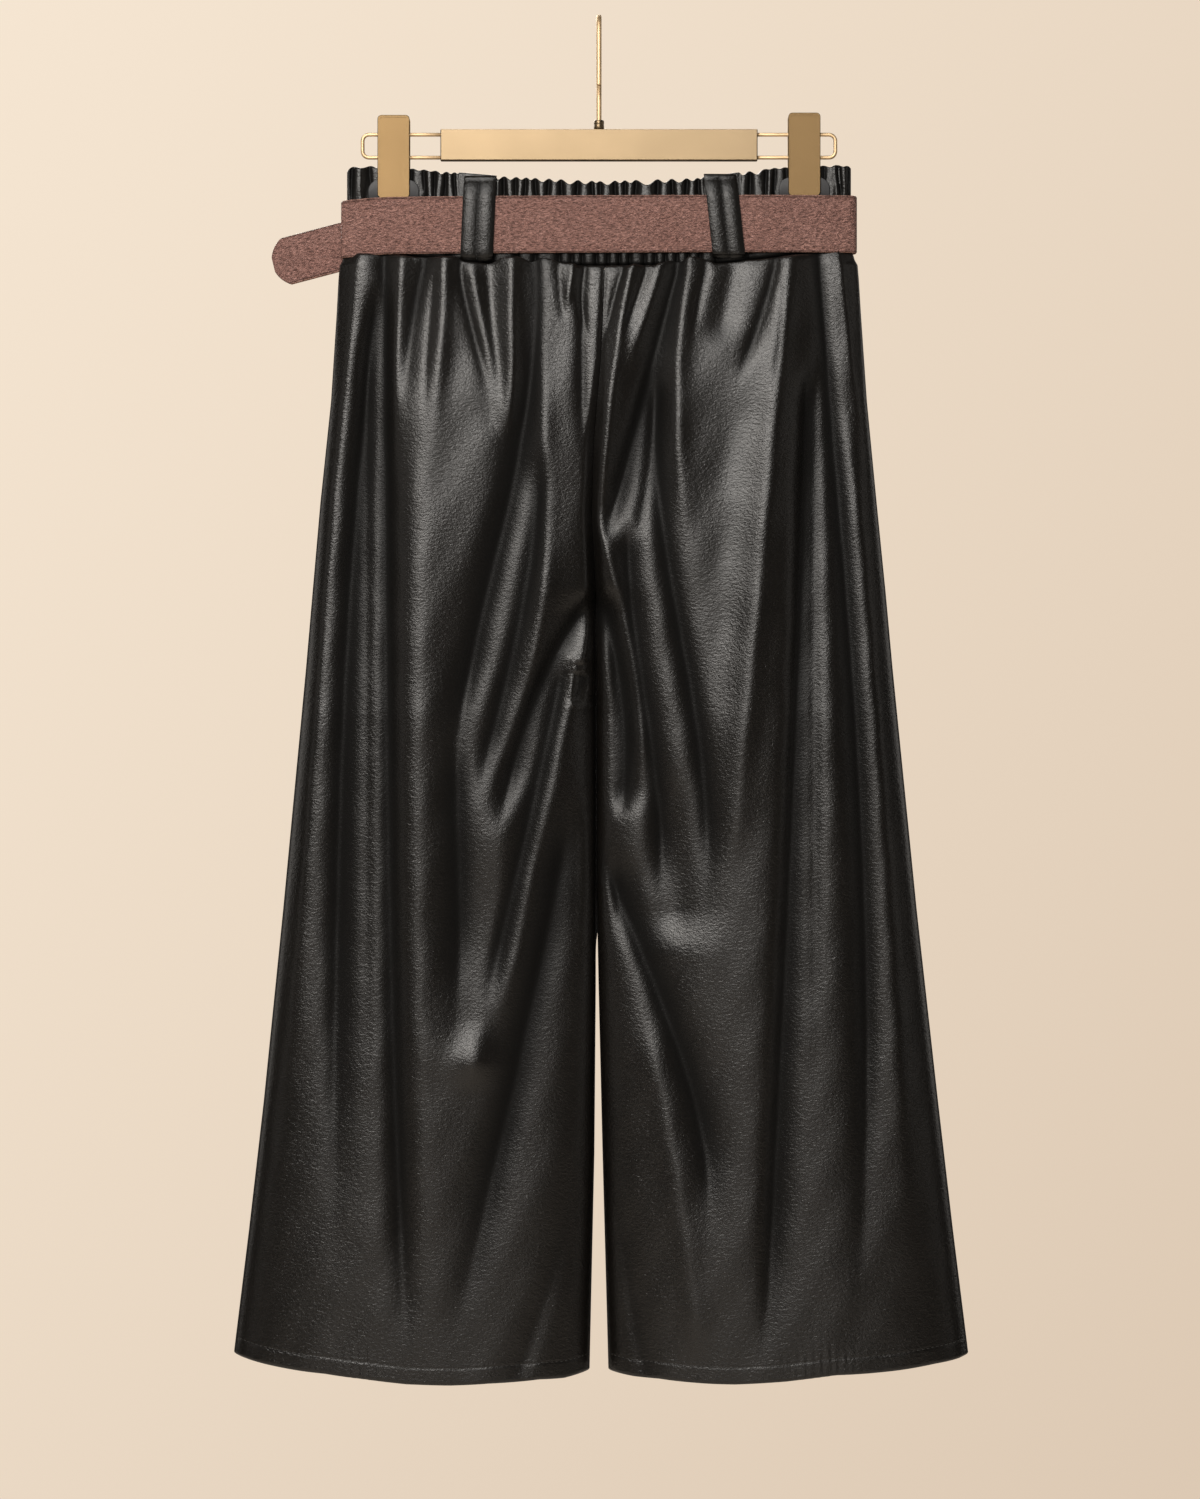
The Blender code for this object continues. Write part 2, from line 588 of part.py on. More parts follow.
def belt_strap():
    """The strap: its path with a straight cross-section, twisted and rounded at the tail's end."""
    path, holes = belt_path()
    along = np.gradient(path, axis=0)
    along /= np.linalg.norm(along, axis=1, keepdims=True)
    up = np.array([0.0, 0.0, 1.0]) - along * along[:, 2:]
    up /= np.linalg.norm(up, axis=1, keepdims=True)
    outward = np.cross(along, up)
    in_tail = np.arange(len(path)) >= len(path) - len(TAIL_X)
    twist = TAIL_TWIST * smooth((-0.115 - path[:, 0]) / 0.085) * in_tail
    up = up * np.cos(twist)[:, None] + outward * np.sin(twist)[:, None]
    to_tip = np.where(in_tail, path[:, 0] - TAIL_END_X, TIP_RADIUS)
    short_of_round = np.clip(TIP_RADIUS - to_tip, 0.0, None)
    half = np.minimum(BELT_WIDTH / 2, np.sqrt(TIP_RADIUS ** 2 - short_of_round ** 2))
    inner = np.minimum(half / 2, PRONG_HOLE / 2)
    level = np.stack([half, inner, -inner, -half])
    points = path + level[..., None] * up
    sheet("belt_strap", points, BELT_WALL, BELT_LEATHER, offset=0.0, holes=[(1, hole) for hole in holes])


def belt_loop(name, face, top_x, foot_x, top, foot, belt_off):
    """A strip from the waistband's top, out over the belt, and in again under it."""
    y_sign = FACES[face]
    belt = read(BELT_LINE, "drop", top_x, by="x")
    over = belt_off + BELT_WALL / 2 + GAP
    belt_top = belt - BELT_WIDTH / 2
    belt_low = belt + BELT_WIDTH / 2
    profile = table("drop off on_belt", [
        (top, LOOP_OFF, 0),
        (belt_top - 0.0055, LOOP_OFF, 0),
        (belt_top - 0.0010, over, 1),
        (belt, over + GAP, 1),
        (belt_low + 0.0006, over, 1),
        (foot - 0.0012, LOOP_OFF + 0.3 * over, 1),
        (foot, LOOP_OFF, 1),
    ])
    across, drop = np.meshgrid(np.linspace(-LOOP_WIDTH / 2, LOOP_WIDTH / 2, 5), profile["drop"])
    lean = (drop - top) / (foot - top)
    x = top_x + (foot_x - top_x) * lean + across
    level = (drop - read(BAND_TOP, "drop", x, by="x")) / BAND_HEIGHT
    on_belt = profile["on_belt"][:, None]
    under = band_stand_off(x, level) * (1 - on_belt) + band_foot(x) * on_belt
    points = np.stack([x, y_sign * (under + profile["off"][:, None]), -drop], axis=-1)
    if y_sign > 0:
        points = points[:, ::-1]
    sheet(name, points, LOOP_WALL, FAUX_LEATHER, offset=1.0)


def keeper():
    """A closed leather loop round the strap and its tail."""
    drop = read(BELT_LINE, "drop", KEEPER_X, by="x")
    inner_off = BELT_OFF_FRONT - BELT_WALL / 2 - GAP
    outer_off = SECOND_OFF + BELT_WALL / 2 + GAP
    ring = np.array(rounded_rectangle(BELT_WIDTH + 0.0016, outer_off - inner_off, 0.0010, steps=2))
    middle = band_foot(KEEPER_X) + (inner_off + outer_off) / 2
    points = np.empty((2, len(ring), 3))
    points[..., 0] = KEEPER_X + np.array([[-0.5], [0.5]]) * KEEPER_WIDTH
    points[..., 1] = middle + ring[:, 1]
    points[..., 2] = -drop + ring[:, 0]
    sheet("belt_keeper", points, KEEPER_WALL, BELT_LEATHER, offset=1.0, closed=True)


def buckle():
    """A plain frame round whose heel the strap's end is folded, and the prong that rests on its toe."""
    drop = read(BELT_LINE, "drop", 0.0, by="x")
    heel_y = band_foot(BUCKLE_HEEL_X) + HEEL_OFF
    toe_y = band_foot(BUCKLE_TOE_X) + TOE_OFF
    length = BUCKLE_TOE_X - BUCKLE_HEEL_X
    height = BELT_WIDTH + BUCKLE_WIRE + 0.0016
    middle = (BUCKLE_TOE_X + BUCKLE_HEEL_X) / 2
    slope = (toe_y - heel_y) / length
    ring = rounded_rectangle(length, height, BUCKLE_CORNER)
    frame = [(middle + u, heel_y + slope * (u + length / 2), v - drop) for u, v in ring]
    wire("buckle_frame", frame, BUCKLE_WIRE, SATIN_GOLD, closed=True)

    curl = BUCKLE_WIRE / 2 + GAP + PRONG_WIRE / 2
    rest = toe_y + BUCKLE_WIRE / 2 + GAP + PRONG_WIRE / 2
    angles = np.radians(np.linspace(-160, 10, 8))
    prong = [(BUCKLE_HEEL_X + curl * math.cos(a), heel_y + curl * math.sin(a), -drop) for a in angles]
    prong += [(-0.0060, heel_y + 0.0009, -drop), (0.0020, heel_y + 0.0019, -drop),
              (0.0100, heel_y + 0.0032, -drop), (BUCKLE_TOE_X - 0.0040, rest, -drop),
              (BUCKLE_TOE_X + 0.0030, rest, -drop)]
    wire("buckle_prong", prong, PRONG_WIRE, SATIN_GOLD)


# ---- Hanger --------------------------------------------------------------------------------------

def hanger_hook():
    path = [(0.0, y, -drop) for y, drop in zip(HOOK["y"], HOOK["drop"])]
    wire("hanger_hook", path, HOOK_WIRE, SATIN_GOLD, spline="BEZIER")


def hanger_ferrule():
    """A turned collar that the stem drops into, on top of the bar."""
    bore = HOOK_WIRE / 2 + GAP
    low = -BAR_DROP + GAP
    high = -FERRULE_DROP
    edge = 0.0006
    profile = [(bore, high), (FERRULE_RADIUS - edge, high), (FERRULE_RADIUS, high - edge),
               (FERRULE_RADIUS, low + edge), (FERRULE_RADIUS - edge, low), (bore, low)]
    mesh = bpy.data.meshes.new("hanger_ferrule")
    links = [(i, (i + 1) % len(profile)) for i in range(len(profile))]
    mesh.from_pydata([(radius, 0.0, z) for radius, z in profile], links, [])
    collar = add("hanger_ferrule", mesh, SATIN_GOLD)
    turn = collar.modifiers.new("turn", "SCREW")
    turn.steps = 20
    turn.render_steps = 20
    turn.use_merge_vertices = True
    turn.merge_threshold = 0.00001


def hanger_bar():
    """A flat bar with a socket for each wire end."""
    mesh = bpy.data.meshes.new("hanger_bar")
    shape = bmesh.new()
    bmesh.ops.create_cube(shape, size=1.0)
    bmesh.ops.scale(shape, vec=(2 * BAR_HALF_LENGTH, BAR_DEPTH, BAR_HEIGHT), verts=shape.verts)
    shape.to_mesh(mesh)
    shape.free()
    bar = add("hanger_bar", mesh, SATIN_GOLD)
    bar.location = (0.0, 0.0, -BAR_DROP - BAR_HEIGHT / 2)
    edges = bar.modifiers.new("edges", "BEVEL")
    edges.width = 0.0007
    edges.segments = 2
    for side, x_sign in SIDES.items():
        for level, drop in (("top", WIRE_TOP_DROP), ("low", WIRE_LOW_DROP)):
            name = "socket_" + side + "_" + level
            cutter = rod(name, WIRE / 2 + GAP, 2 * (SOCKET_DEPTH + GAP),
                         (x_sign * BAR_HALF_LENGTH, 0.0, -drop), 12, collection=cutters)
            cutter.hide_render = True
            cutter.display_type = "WIRE"
            cut = bar.modifiers.new(name, "BOOLEAN")
            cut.operation = "DIFFERENCE"
            cut.object = cutter


def hanger_wire(side):
    """A wire bent into a long U, whose two ends sit in the bar's sockets."""
    outer_x = WIRE_END_X - WIRE / 2
    path = [(BAR_HALF_LENGTH - SOCKET_DEPTH, -WIRE_TOP_DROP), (0.150, -WIRE_TOP_DROP)]
    for step in range(5):
        angle = math.radians(90 - 22.5 * step)
        path.append((outer_x - WIRE_BEND * (1 - math.cos(angle)),
                     -WIRE_TOP_DROP - WIRE_BEND * (1 - math.sin(angle))))
    lower = [(x, -WIRE_TOP_DROP - WIRE_LOW_DROP - z) for x, z in reversed(path)]
    wire("hanger_wire_" + side, [(SIDES[side] * x, 0.0, z) for x, z in path + lower], WIRE, SATIN_GOLD)


def plate(name, outlines, place, y_sign, finish):
    """A plate lofted through outlines, each a ring of (x, z) points and its distance from the
    middle plane, from the inner face to the outer one."""
    mesh = bpy.data.meshes.new(name)
    shape = bmesh.new()
    rings = [[shape.verts.new((place[0] + x, y_sign * off, place[1] + z)) for x, z in ring]
             for ring, off in outlines]
    shape.faces.new(rings[0])
    shape.faces.new(rings[-1])
    for low, high in zip(rings, rings[1:]):
        for i in range(len(low)):
            after = (i + 1) % len(low)
            shape.faces.new((low[i], low[after], high[after], high[i]))
    bmesh.ops.recalc_face_normals(shape, faces=shape.faces)
    shape.to_mesh(mesh)
    shape.free()
    add(name, mesh, finish)


def flat_pad(name, outline, wall, place, finish):
    """A flat outline, drawn in the XZ plane, given a thickness."""
    curve = bpy.data.curves.new(name, "CURVE")
    curve.dimensions = "2D"
    curve.fill_mode = "BOTH"
    curve.extrude = wall / 2
    line = curve.splines.new("POLY")
    line.points.add(len(outline) - 1)
    for point, (u, v) in zip(line.points, outline):
        point.co = (u, v, 0.0, 1.0)
    line.use_cyclic_u = True
    made = add(name, curve, finish)
    made.rotation_euler = (math.radians(90), 0.0, 0.0)
    made.location = place


def clip(side):
    """Two plates with a recessed face inside a rim, a spring drum between the wires, and two pads."""
    x = SIDES[side] * CLIP_X
    middle = -CLIP_TOP_DROP[side] - CLIP_HEIGHT / 2
    edge = 0.0004
    full = rounded_rectangle(CLIP_WIDTH, CLIP_HEIGHT, CLIP_CORNER)
    eased = rounded_rectangle(CLIP_WIDTH - 2 * edge, CLIP_HEIGHT - 2 * edge, CLIP_CORNER - edge)
    inside = rounded_rectangle(CLIP_WIDTH - 2 * CLIP_RIM, CLIP_HEIGHT - 2 * CLIP_RIM,
                               CLIP_CORNER - 3 * edge)
    outer = CLIP_HALF_GRIP + CLIP_WALL
    plate_outlines = [(full, CLIP_HALF_GRIP), (full, outer - edge), (eased, outer), (inside, outer),
                      (inside, outer - CLIP_PAN)]
    arch = [(u, v) for u, v in rounded_rectangle(PAD_WIDTH, 2 * PAD_HEIGHT, PAD_CORNER) if v > 0]
    arch = [(PAD_WIDTH / 2, 0.0)] + arch + [(-PAD_WIDTH / 2, 0.0)]
    pad_off = CLIP_HALF_GRIP - GAP - PAD_WALL / 2
    pad_low = middle - CLIP_HEIGHT / 2 - edge
    for face, y_sign in FACES.items():
        plate("clip_" + face + "_" + side, plate_outlines, (x, middle), y_sign, SATIN_GOLD)
        flat_pad("clip_pad_" + face + "_" + side, arch, PAD_WALL, (x, y_sign * pad_off, pad_low), RUBBER)
    rod("clip_drum_" + side, DRUM_RADIUS, DRUM_LENGTH,
        (x, 0.0, -(WIRE_TOP_DROP + WIRE_LOW_DROP) / 2), 20, SATIN_GOLD)


for leg_side in SIDES:
    leg_panel("back", leg_side, across=19, above=10, below=10)
    leg_panel("front", leg_side, across=14, above=8, below=8)
    hanger_wire(leg_side)
    clip(leg_side)
for band_face in FACES:
    waistband(band_face)
for loop_name, loop_sizes in LOOPS.items():
    belt_loop(loop_name, *loop_sizes)
belt_strap()
keeper()
buckle()
hanger_hook()
hanger_ferrule()
hanger_bar()
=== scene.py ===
# %% [markdown]
# # Faux leather trousers on a two-clip hanger
# A lesson in cells. It starts from solids that are already the right size, which are called the frame
# here, and puts the real surfaces in their place: thin cloth with every fold, a gathered waistband,
# a grained belt, stitches and metal. Lengths are in metres, +Z is up, and the trousers' back faces -Y.
# "Drop" is the distance below the hanger's hook, so drop is minus z.

# %% Load the frame
import math

import bpy
import numpy as np
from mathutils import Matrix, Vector


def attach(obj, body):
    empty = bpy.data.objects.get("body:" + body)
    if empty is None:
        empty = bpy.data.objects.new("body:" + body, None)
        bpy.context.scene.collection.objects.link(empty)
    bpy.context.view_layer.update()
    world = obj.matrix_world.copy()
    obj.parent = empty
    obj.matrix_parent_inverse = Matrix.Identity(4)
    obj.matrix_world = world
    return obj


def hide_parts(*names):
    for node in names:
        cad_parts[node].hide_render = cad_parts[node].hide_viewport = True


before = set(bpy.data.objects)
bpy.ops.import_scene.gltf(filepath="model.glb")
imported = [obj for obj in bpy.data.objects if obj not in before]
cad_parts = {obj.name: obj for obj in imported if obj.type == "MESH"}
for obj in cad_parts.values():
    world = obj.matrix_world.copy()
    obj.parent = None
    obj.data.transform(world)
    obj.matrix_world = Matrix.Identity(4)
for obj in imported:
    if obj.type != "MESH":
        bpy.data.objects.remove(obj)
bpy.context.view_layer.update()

BODY_NAME = "root"
MM = 0.001

# %% [markdown]
# ## Tables, and curves read from them
# A garment is drawn as a few sections, so its shape is kept as short tables with named columns. A value
# between two rows is read with a straight line, or with a smooth curve where a kink would show.

# %% Reading tables


def table(columns, rows):
    """A table written a row to a line, as one array for each named column."""
    return dict(zip(columns.split(), np.array(rows, dtype=float).T))


def read(source, column, at, by="drop"):
    """A table's column, read along straight lines between its rows."""
    return np.interp(at, source[by], source[column])


def smooth(t):
    """0 below 0, 1 above 1, and between them the S curve 3t^2 - 2t^3."""
    t = np.clip(t, 0.0, 1.0)
    return t * t * (3.0 - 2.0 * t)


def ramp(value, start, span):
    """0 up to start, 1 from a span later."""
    return smooth((value - start) / span)


def fade(value, start, span):
    """1 up to start, 0 from a span later."""
    return 1.0 - ramp(value, start, span)


def unit(vectors):
    """Vectors of the same direction, each one long."""
    return vectors / np.linalg.norm(vectors, axis=-1, keepdims=True)


def lengths(path):
    """How far along a path each of its points is."""
    return np.concatenate([[0.0], np.cumsum(np.linalg.norm(np.diff(path, axis=0), axis=1))])


def soft_path(points, steps):
    """A Catmull-Rom curve through points: between two of them it is the cubic whose slope at each
    is half the step from the point before to the point after."""
    points = np.asarray(points, dtype=float)
    ends = 2 * points[[0, -1]] - points[[1, -2]]
    p = np.concatenate([ends[:1], points, ends[1:]])
    where = np.linspace(0.0, len(points) - 1.0, steps)
    i = np.minimum(where.astype(int), len(points) - 2)
    t = (where - i)[:, None]
    a, b, c, d = p[i], p[i + 1], p[i + 2], p[i + 3]
    return 0.5 * (2 * b + (c - a) * t + (2 * a - 5 * b + 4 * c - d) * t ** 2
                  + (3 * b - a - 3 * c + d) * t ** 3)


# %% [markdown]
# ## From arrays to a piece
# Every new piece is a grid of points: rows by columns by three coordinates. Numpy works the whole grid
# out at once, and foreach_set hands it to Blender, which is much quicker than adding faces one by one.
# Solidify then gives the cloth its wall, and the piece rides on the frame's only body.

# %% Making a piece


def grid_quads(rows, columns, around=False, along=False):
    """Corners of a grid's quads, anticlockwise from outside when rows go down and columns right."""
    index = np.arange(rows * columns).reshape(rows, columns)
    if around:
        index = np.concatenate([index, index[:, :1]], axis=1)
    if along:
        index = np.concatenate([index, index[:1]], axis=0)
    corners = [index[:-1, :-1], index[1:, :-1], index[1:, 1:], index[:-1, 1:]]
    return np.stack(corners, axis=-1).reshape(-1, 4)


def end_rings(rows, columns):
    """Corners of a grid's first and last rows, for the caps of a tube."""
    index = np.arange(rows * columns).reshape(rows, columns)
    return [index[0], index[-1][::-1]]


def turned(sign, *grids):
    """Grids whose columns run the other way where the sign is positive, so that they face outward."""
    return [grid[:, ::-1] for grid in grids] if sign > 0 else grids


def new_mesh(name, vertices, quads, caps=(), uv=None):
    """A mesh from arrays: quads as rows of four corners, and caps as longer rings of corners."""
    mesh = bpy.data.meshes.new(name)
    vertices = np.asarray(vertices, dtype=np.float32).reshape(-1, 3)
    loops = np.concatenate([np.asarray(quads).ravel()] + [np.asarray(ring) for ring in caps])
    totals = np.concatenate([np.full(len(quads), 4), [len(ring) for ring in caps]]).astype(np.int32)
    mesh.vertices.add(len(vertices))
    mesh.vertices.foreach_set("co", vertices.ravel())
    mesh.loops.add(len(loops))
    mesh.loops.foreach_set("vertex_index", loops.astype(np.int32))
    mesh.polygons.add(len(totals))
    starts = np.concatenate([[0], np.cumsum(totals)[:-1]]).astype(np.int32)
    mesh.polygons.foreach_set("loop_start", starts)
    mesh.polygons.foreach_set("loop_total", totals)
    mesh.update(calc_edges=True)
    mesh.validate()
    if uv is not None:
        layer = mesh.uv_layers.new(name="length")
        layer.data.foreach_set("uv", np.asarray(uv, dtype=np.float32).reshape(-1, 2)[loops].ravel())
    mesh.shade_smooth()
    return mesh


def link(name, data):
    """A new object in the scene, at the origin."""
    thing = bpy.data.objects.new(name, data)
    bpy.context.scene.collection.objects.link(thing)
    return thing


def place(mesh, materials, replaces=()):
    """Link a mesh as a piece, give it its materials and hide the nodes it stands for."""
    piece = link(mesh.name, mesh)
    for material in materials:
        mesh.materials.append(material)
    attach(piece, BODY_NAME)
    if replaces:
        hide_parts(*replaces)
    return piece


def mark_painted_shade(mesh, closed):
    """Store the painted shade at each point, 0 to 1, for the finish: how far it lies inside a deep fold.
    """
    mesh.attributes.new("closed", "FLOAT", "POINT").data.foreach_set("value", closed.ravel())


def wall(piece, thickness, offset=-1.0, inner_material=0):
    """Give an open surface its thickness: offset -1 grows it inwards, and 0 to both sides."""
    shell = piece.modifiers.new("wall", "SOLIDIFY")
    shell.thickness = thickness
    shell.offset = offset
    shell.material_offset = inner_material
    return piece


def rounded(piece, width):
    """Round every sharp edge."""
    bevel = piece.modifiers.new("edges", "BEVEL")
    bevel.width = width
    bevel.segments = 2
    bevel.limit_method = "ANGLE"
    bevel.angle_limit = math.radians(40.0)
    return piece


# %% [markdown]
# ## Shader maths as expressions
# A material is easier to read as sums than as a list of nodes. A Value wraps a socket, and + - * on it
# add Math nodes. A Wiring holds a node tree, and node() is the only way a node gets into it. A Finish is
# the wiring of one material.

# %% Values and finishes


class Value:
    """A socket with numbers on it, which can take part in sums."""

    def __init__(self, wiring, socket):
        self.wiring = wiring
        self.socket = socket

    def _maths(self, operation, *inputs):
        return self.wiring.node("ShaderNodeMath", {"operation": operation}, dict(enumerate(inputs)))

    def __add__(self, other):
        return self._maths("ADD", self, other)

    def __sub__(self, other):
        return self._maths("SUBTRACT", self, other)

    def __rsub__(self, other):
        return self._maths("SUBTRACT", other, self)

    def __mul__(self, other):
        return self._maths("MULTIPLY", self, other)

    def __abs__(self):
        return self._maths("ABSOLUTE", self)

    __radd__ = __add__
    __rmul__ = __mul__

    def between(self, low, high):
        """0 at low, 1 at high, held at both ends and smooth between."""
        return self.wiring.node("ShaderNodeMapRange", {"interpolation_type": "SMOOTHSTEP"},
                                {"Value": self, "From Min": low, "From Max": high})


class Wiring:
    """A material or a world whose nodes are being wired."""

    def __init__(self, owner):
        owner.use_nodes = True
        self.tree = owner.node_tree

    def node(self, kind, settings, inputs, output=0):
        """Add a node: its settings first, then a value or a link for each named socket."""
        made = self.tree.nodes.new(kind)
        for name, value in settings.items():
            setattr(made, name, value)
        for name, value in inputs.items():
            if isinstance(value, Value):
                self.tree.links.new(value.socket, made.inputs[name])
            else:
                made.inputs[name].default_value = value
        return Value(self, made.outputs[output])

    def blend(self, share, low, high):
        """A colour part of the way from low to high."""
        return self.node("ShaderNodeMix", {"data_type": "RGBA"}, {0: share, 6: low, 7: high}, output=2)

    def mix(self, share, low, high, output):
        """A shader part of the way from low to high, sent to the node that gives the tree's surface."""
        mixed = self.node("ShaderNodeMixShader", {}, {0: share, 1: low, 2: high})
        self.tree.links.new(mixed.socket, self.tree.nodes[output].inputs["Surface"])


class Finish(Wiring):
    """A Principled material being wired."""

    def __init__(self, name, colour, roughness, metallic=0.0, **constants):
        self.material = bpy.data.materials.new(name)
        super().__init__(self.material)
        self.shader = self.tree.nodes["Principled BSDF"]
        constants |= {"Base_Color": (*colour, 1.0), "Roughness": roughness, "Metallic": metallic}
        for socket, value in constants.items():
            self.shader.inputs[socket.replace("_", " ")].default_value = value

    def place_on(self, uv=False):
        """Where a point is: on the piece's own length map, or in the object's coordinates."""
        if uv:
            return self.node("ShaderNodeUVMap", {"uv_map": "length"}, {})
        return self.node("ShaderNodeTexCoord", {}, {}, output="Object")

    def stretched(self, vector, scale=(1, 1, 1), turn=(0, 0, 0)):
        """A point's place, turned and scaled for a pattern that has a direction."""
        return self.node("ShaderNodeMapping", {}, {"Vector": vector, "Rotation": turn, "Scale": scale})

    def noise(self, vector, size, detail=2.0, rough=0.5, bend=0.0):
        """Cloudy values from 0 to 1 whose patches are about size metres across."""
        return self.node("ShaderNodeTexNoise", {},
                         {"Vector": vector, "Scale": 1.0 / size, "Detail": detail, "Roughness": rough,
                          "Distortion": bend})

    def cells(self, vector, size, feature="F1"):
        """Distance to the nearest cell's middle, or to the nearest edge between two cells."""
        return self.node("ShaderNodeTexVoronoi", {"feature": feature},
                         {"Vector": vector, "Scale": 1.0 / size})

    def apart(self, vector, axis):
        """One coordinate of a vector."""
        return self.node("ShaderNodeSeparateXYZ", {}, {"Vector": vector}, output=axis)

    def bump(self, height, depth):
        """Surface tilted as if height, from 0 to 1, stood out by depth metres."""
        return self.node("ShaderNodeBump", {}, {"Height": height, "Distance": depth})

    def paint_shade(self, share, colour):
        """Painted shade: where share is 1, a second, dark matt shader of this colour stands in for the
        shade inside a fold.
        """
        deep = self.node("ShaderNodeBsdfPrincipled", {},
                         {"Base Color": colour, "Roughness": 0.7, "Specular IOR Level": 0.12})
        self.mix(share, Value(self, self.shader.outputs[0]), deep, "Material Output")

    def send(self, **links):
        """Wire varying values into the shader's own sockets."""
        for socket, value in links.items():
            self.tree.links.new(value.socket, self.shader.inputs[socket.replace("_", " ")])
        return self.material


def tint(red, green, blue):
    """A colour socket's value from linear red, green and blue."""
    return (red, green, blue, 1.0)


# %% [markdown]
# ## The finishes
# Faux leather is a polyurethane skin on a knit. Its gloss is soft, and the skin's fine wrinkles break
# the highlights up into grain. Three sizes of pattern do this: fine grain, short wrinkles a few
# millimetres long, and a slow cloudiness in how glossy it is. The belt is real leather with a larger
# pebble that runs diagonally, and its cut edges are paler. The metal is satin: a plated surface with
# a very fine tooth, which is rougher in some places than in others.

# %% Faux leather and its knit backing


def faux_leather():
    """Near-black skin: small wrinkles in two sizes, slow changes of gloss, and painted shade in its
    folds.
    """
    skin = Finish("faux_leather", (0.0038, 0.0034, 0.0031), 0.28, Specular_IOR_Level=0.55)
    spot = skin.place_on()
    cloud = skin.noise(spot, 0.090, detail=3.0)
    wrinkle = skin.noise(skin.stretched(spot, scale=(1.0, 1.0, 1.7), turn=(0.0, 0.5, 0.0)),
                         0.0032, detail=3.0, rough=0.55, bend=0.6)
    pore = skin.cells(spot, 0.0011)
    height = wrinkle + 0.22 * pore
    colour = skin.blend(cloud, tint(0.0040, 0.0034, 0.0028), tint(0.0070, 0.0058, 0.0048))
    # Painted shade: the share stored as "closed" on each point mixes the skin into a near-black matt
    # shader, in creases, pinches and loop grooves.
    closed = skin.node("ShaderNodeAttribute", {"attribute_name": "closed"}, {}, output="Fac")
    skin.paint_shade(0.92 * closed, tint(0.0030, 0.0028, 0.0026))
    return skin.send(Base_Color=colour, Roughness=0.24 + 0.08 * cloud + 0.03 * wrinkle,
                     Normal=skin.bump(height, 0.00034))


def knit_backing():
    """The inside of the faux leather: a matt brushed knit of fine upright ribs."""
    knit = Finish("knit_backing", (0.030, 0.029, 0.028), 0.92)
    spot = knit.stretched(knit.place_on(), scale=(1.0, 1.0, 0.45))
    loop = knit.cells(spot, 0.0014)
    colour = knit.blend(loop, tint(0.040, 0.038, 0.036), tint(0.018, 0.017, 0.016))
    return knit.send(Base_Color=colour, Normal=knit.bump(loop, 0.0004))


FAUX_LEATHER = faux_leather()
KNIT = knit_backing()
print("finishes:", FAUX_LEATHER.name, KNIT.name)

# %% Belt leather, metal, rubber and thread
BELT_WIDTH = 0.0450
BELT_EDGE_IN = 0.0013        # the line pressed along each edge


def belt_leather():
    """Pebbled leather: wrinkles at a slant along the strap, darkened between them partly by painted
    shade, a line near each edge, a paler cut edge.
    """
    hide = Finish("belt_leather", (0.150, 0.075, 0.062), 0.50, Specular_IOR_Level=0.4)
    spot = hide.place_on(uv=True)
    slant = hide.stretched(spot, scale=(1.0, 2.8, 1.0), turn=(0.0, 0.0, math.radians(-35)))
    ridge = hide.noise(slant, 0.0034, detail=2.5, rough=0.55, bend=0.6)
    pebble = hide.cells(slant, 0.0028, feature="DISTANCE_TO_EDGE").between(0.0, 0.25)
    cloud = hide.noise(spot, 0.030, detail=3.0)
    from_edge = BELT_WIDTH / 2 - abs(hide.apart(spot, 1))
    line = abs(from_edge - BELT_EDGE_IN).between(0.0005, 0.0)
    edge = from_edge.between(0.0010, 0.0002)
    base = hide.blend(cloud, tint(0.320, 0.162, 0.134), tint(0.420, 0.228, 0.190))
    # Darker in the valleys between the grain's ridges: partly the leather's own grain colour, partly
    # painted shade.
    grain_and_shade = hide.blend((1.0 - ridge.between(0.30, 0.62)) * 0.80, base, tint(0.075, 0.034, 0.028))
    height = 0.75 * ridge + 0.35 * pebble - 1.1 * line
    return hide.send(Base_Color=hide.blend(edge * 0.55, grain_and_shade, tint(0.330, 0.180, 0.130)),
                     Roughness=0.42 + 0.16 * cloud, Normal=hide.bump(height, 0.0020))


def satin_gold(name, shade, polish=0.30, green=0.59, blue=0.355):
    """Plated metal with a fine tooth and slow changes of polish. Shade is how light its plating is."""
    gold = np.array([0.80, green, blue]) * shade
    metal = Finish(name, tuple(gold), 0.36, metallic=1.0)
    spot = metal.place_on()
    cloud = metal.noise(spot, 0.040, detail=2.0)
    tooth = metal.noise(spot, 0.0005, detail=2.0)
    colour = metal.blend(cloud, tint(*(0.95 * gold)), tint(*(1.05 * gold)))
    return metal.send(Base_Color=colour, Roughness=polish + 0.12 * cloud,
                      Normal=metal.bump(tooth, 0.00002))


def grip_rubber():
    """Moulded rubber: dark grey, matt and faintly mottled."""
    rubber = Finish("grip_rubber", (0.030, 0.030, 0.032), 0.50)
    cloud = rubber.noise(rubber.place_on(), 0.004, detail=3.0)
    return rubber.send(Roughness=0.42 + 0.2 * cloud, Normal=rubber.bump(cloud, 0.0001))


def black_thread():
    """Waxed black sewing thread, with the twist of its plies."""
    thread = Finish("black_thread", (0.020, 0.019, 0.018), 0.45)
    twist = thread.noise(thread.place_on(), 0.0004, detail=1.0)
    colour = thread.blend(twist, tint(0.012, 0.012, 0.011), tint(0.050, 0.047, 0.044))
    return thread.send(Base_Color=colour, Normal=thread.bump(twist, 0.0001))


BELT_LEATHER = belt_leather()
SATIN_GOLD = satin_gold("satin_gold", 0.295)
CLIP_GOLD = satin_gold("clip_gold", 0.185, green=0.52, blue=0.245)
WIRE_GOLD = satin_gold("wire_gold", 1.05, polish=0.50)
GRIP_RUBBER = grip_rubber()
BLACK_THREAD = black_thread()
print("finishes:", BELT_LEATHER.name, SATIN_GOLD.name, GRIP_RUBBER.name, BLACK_THREAD.name)

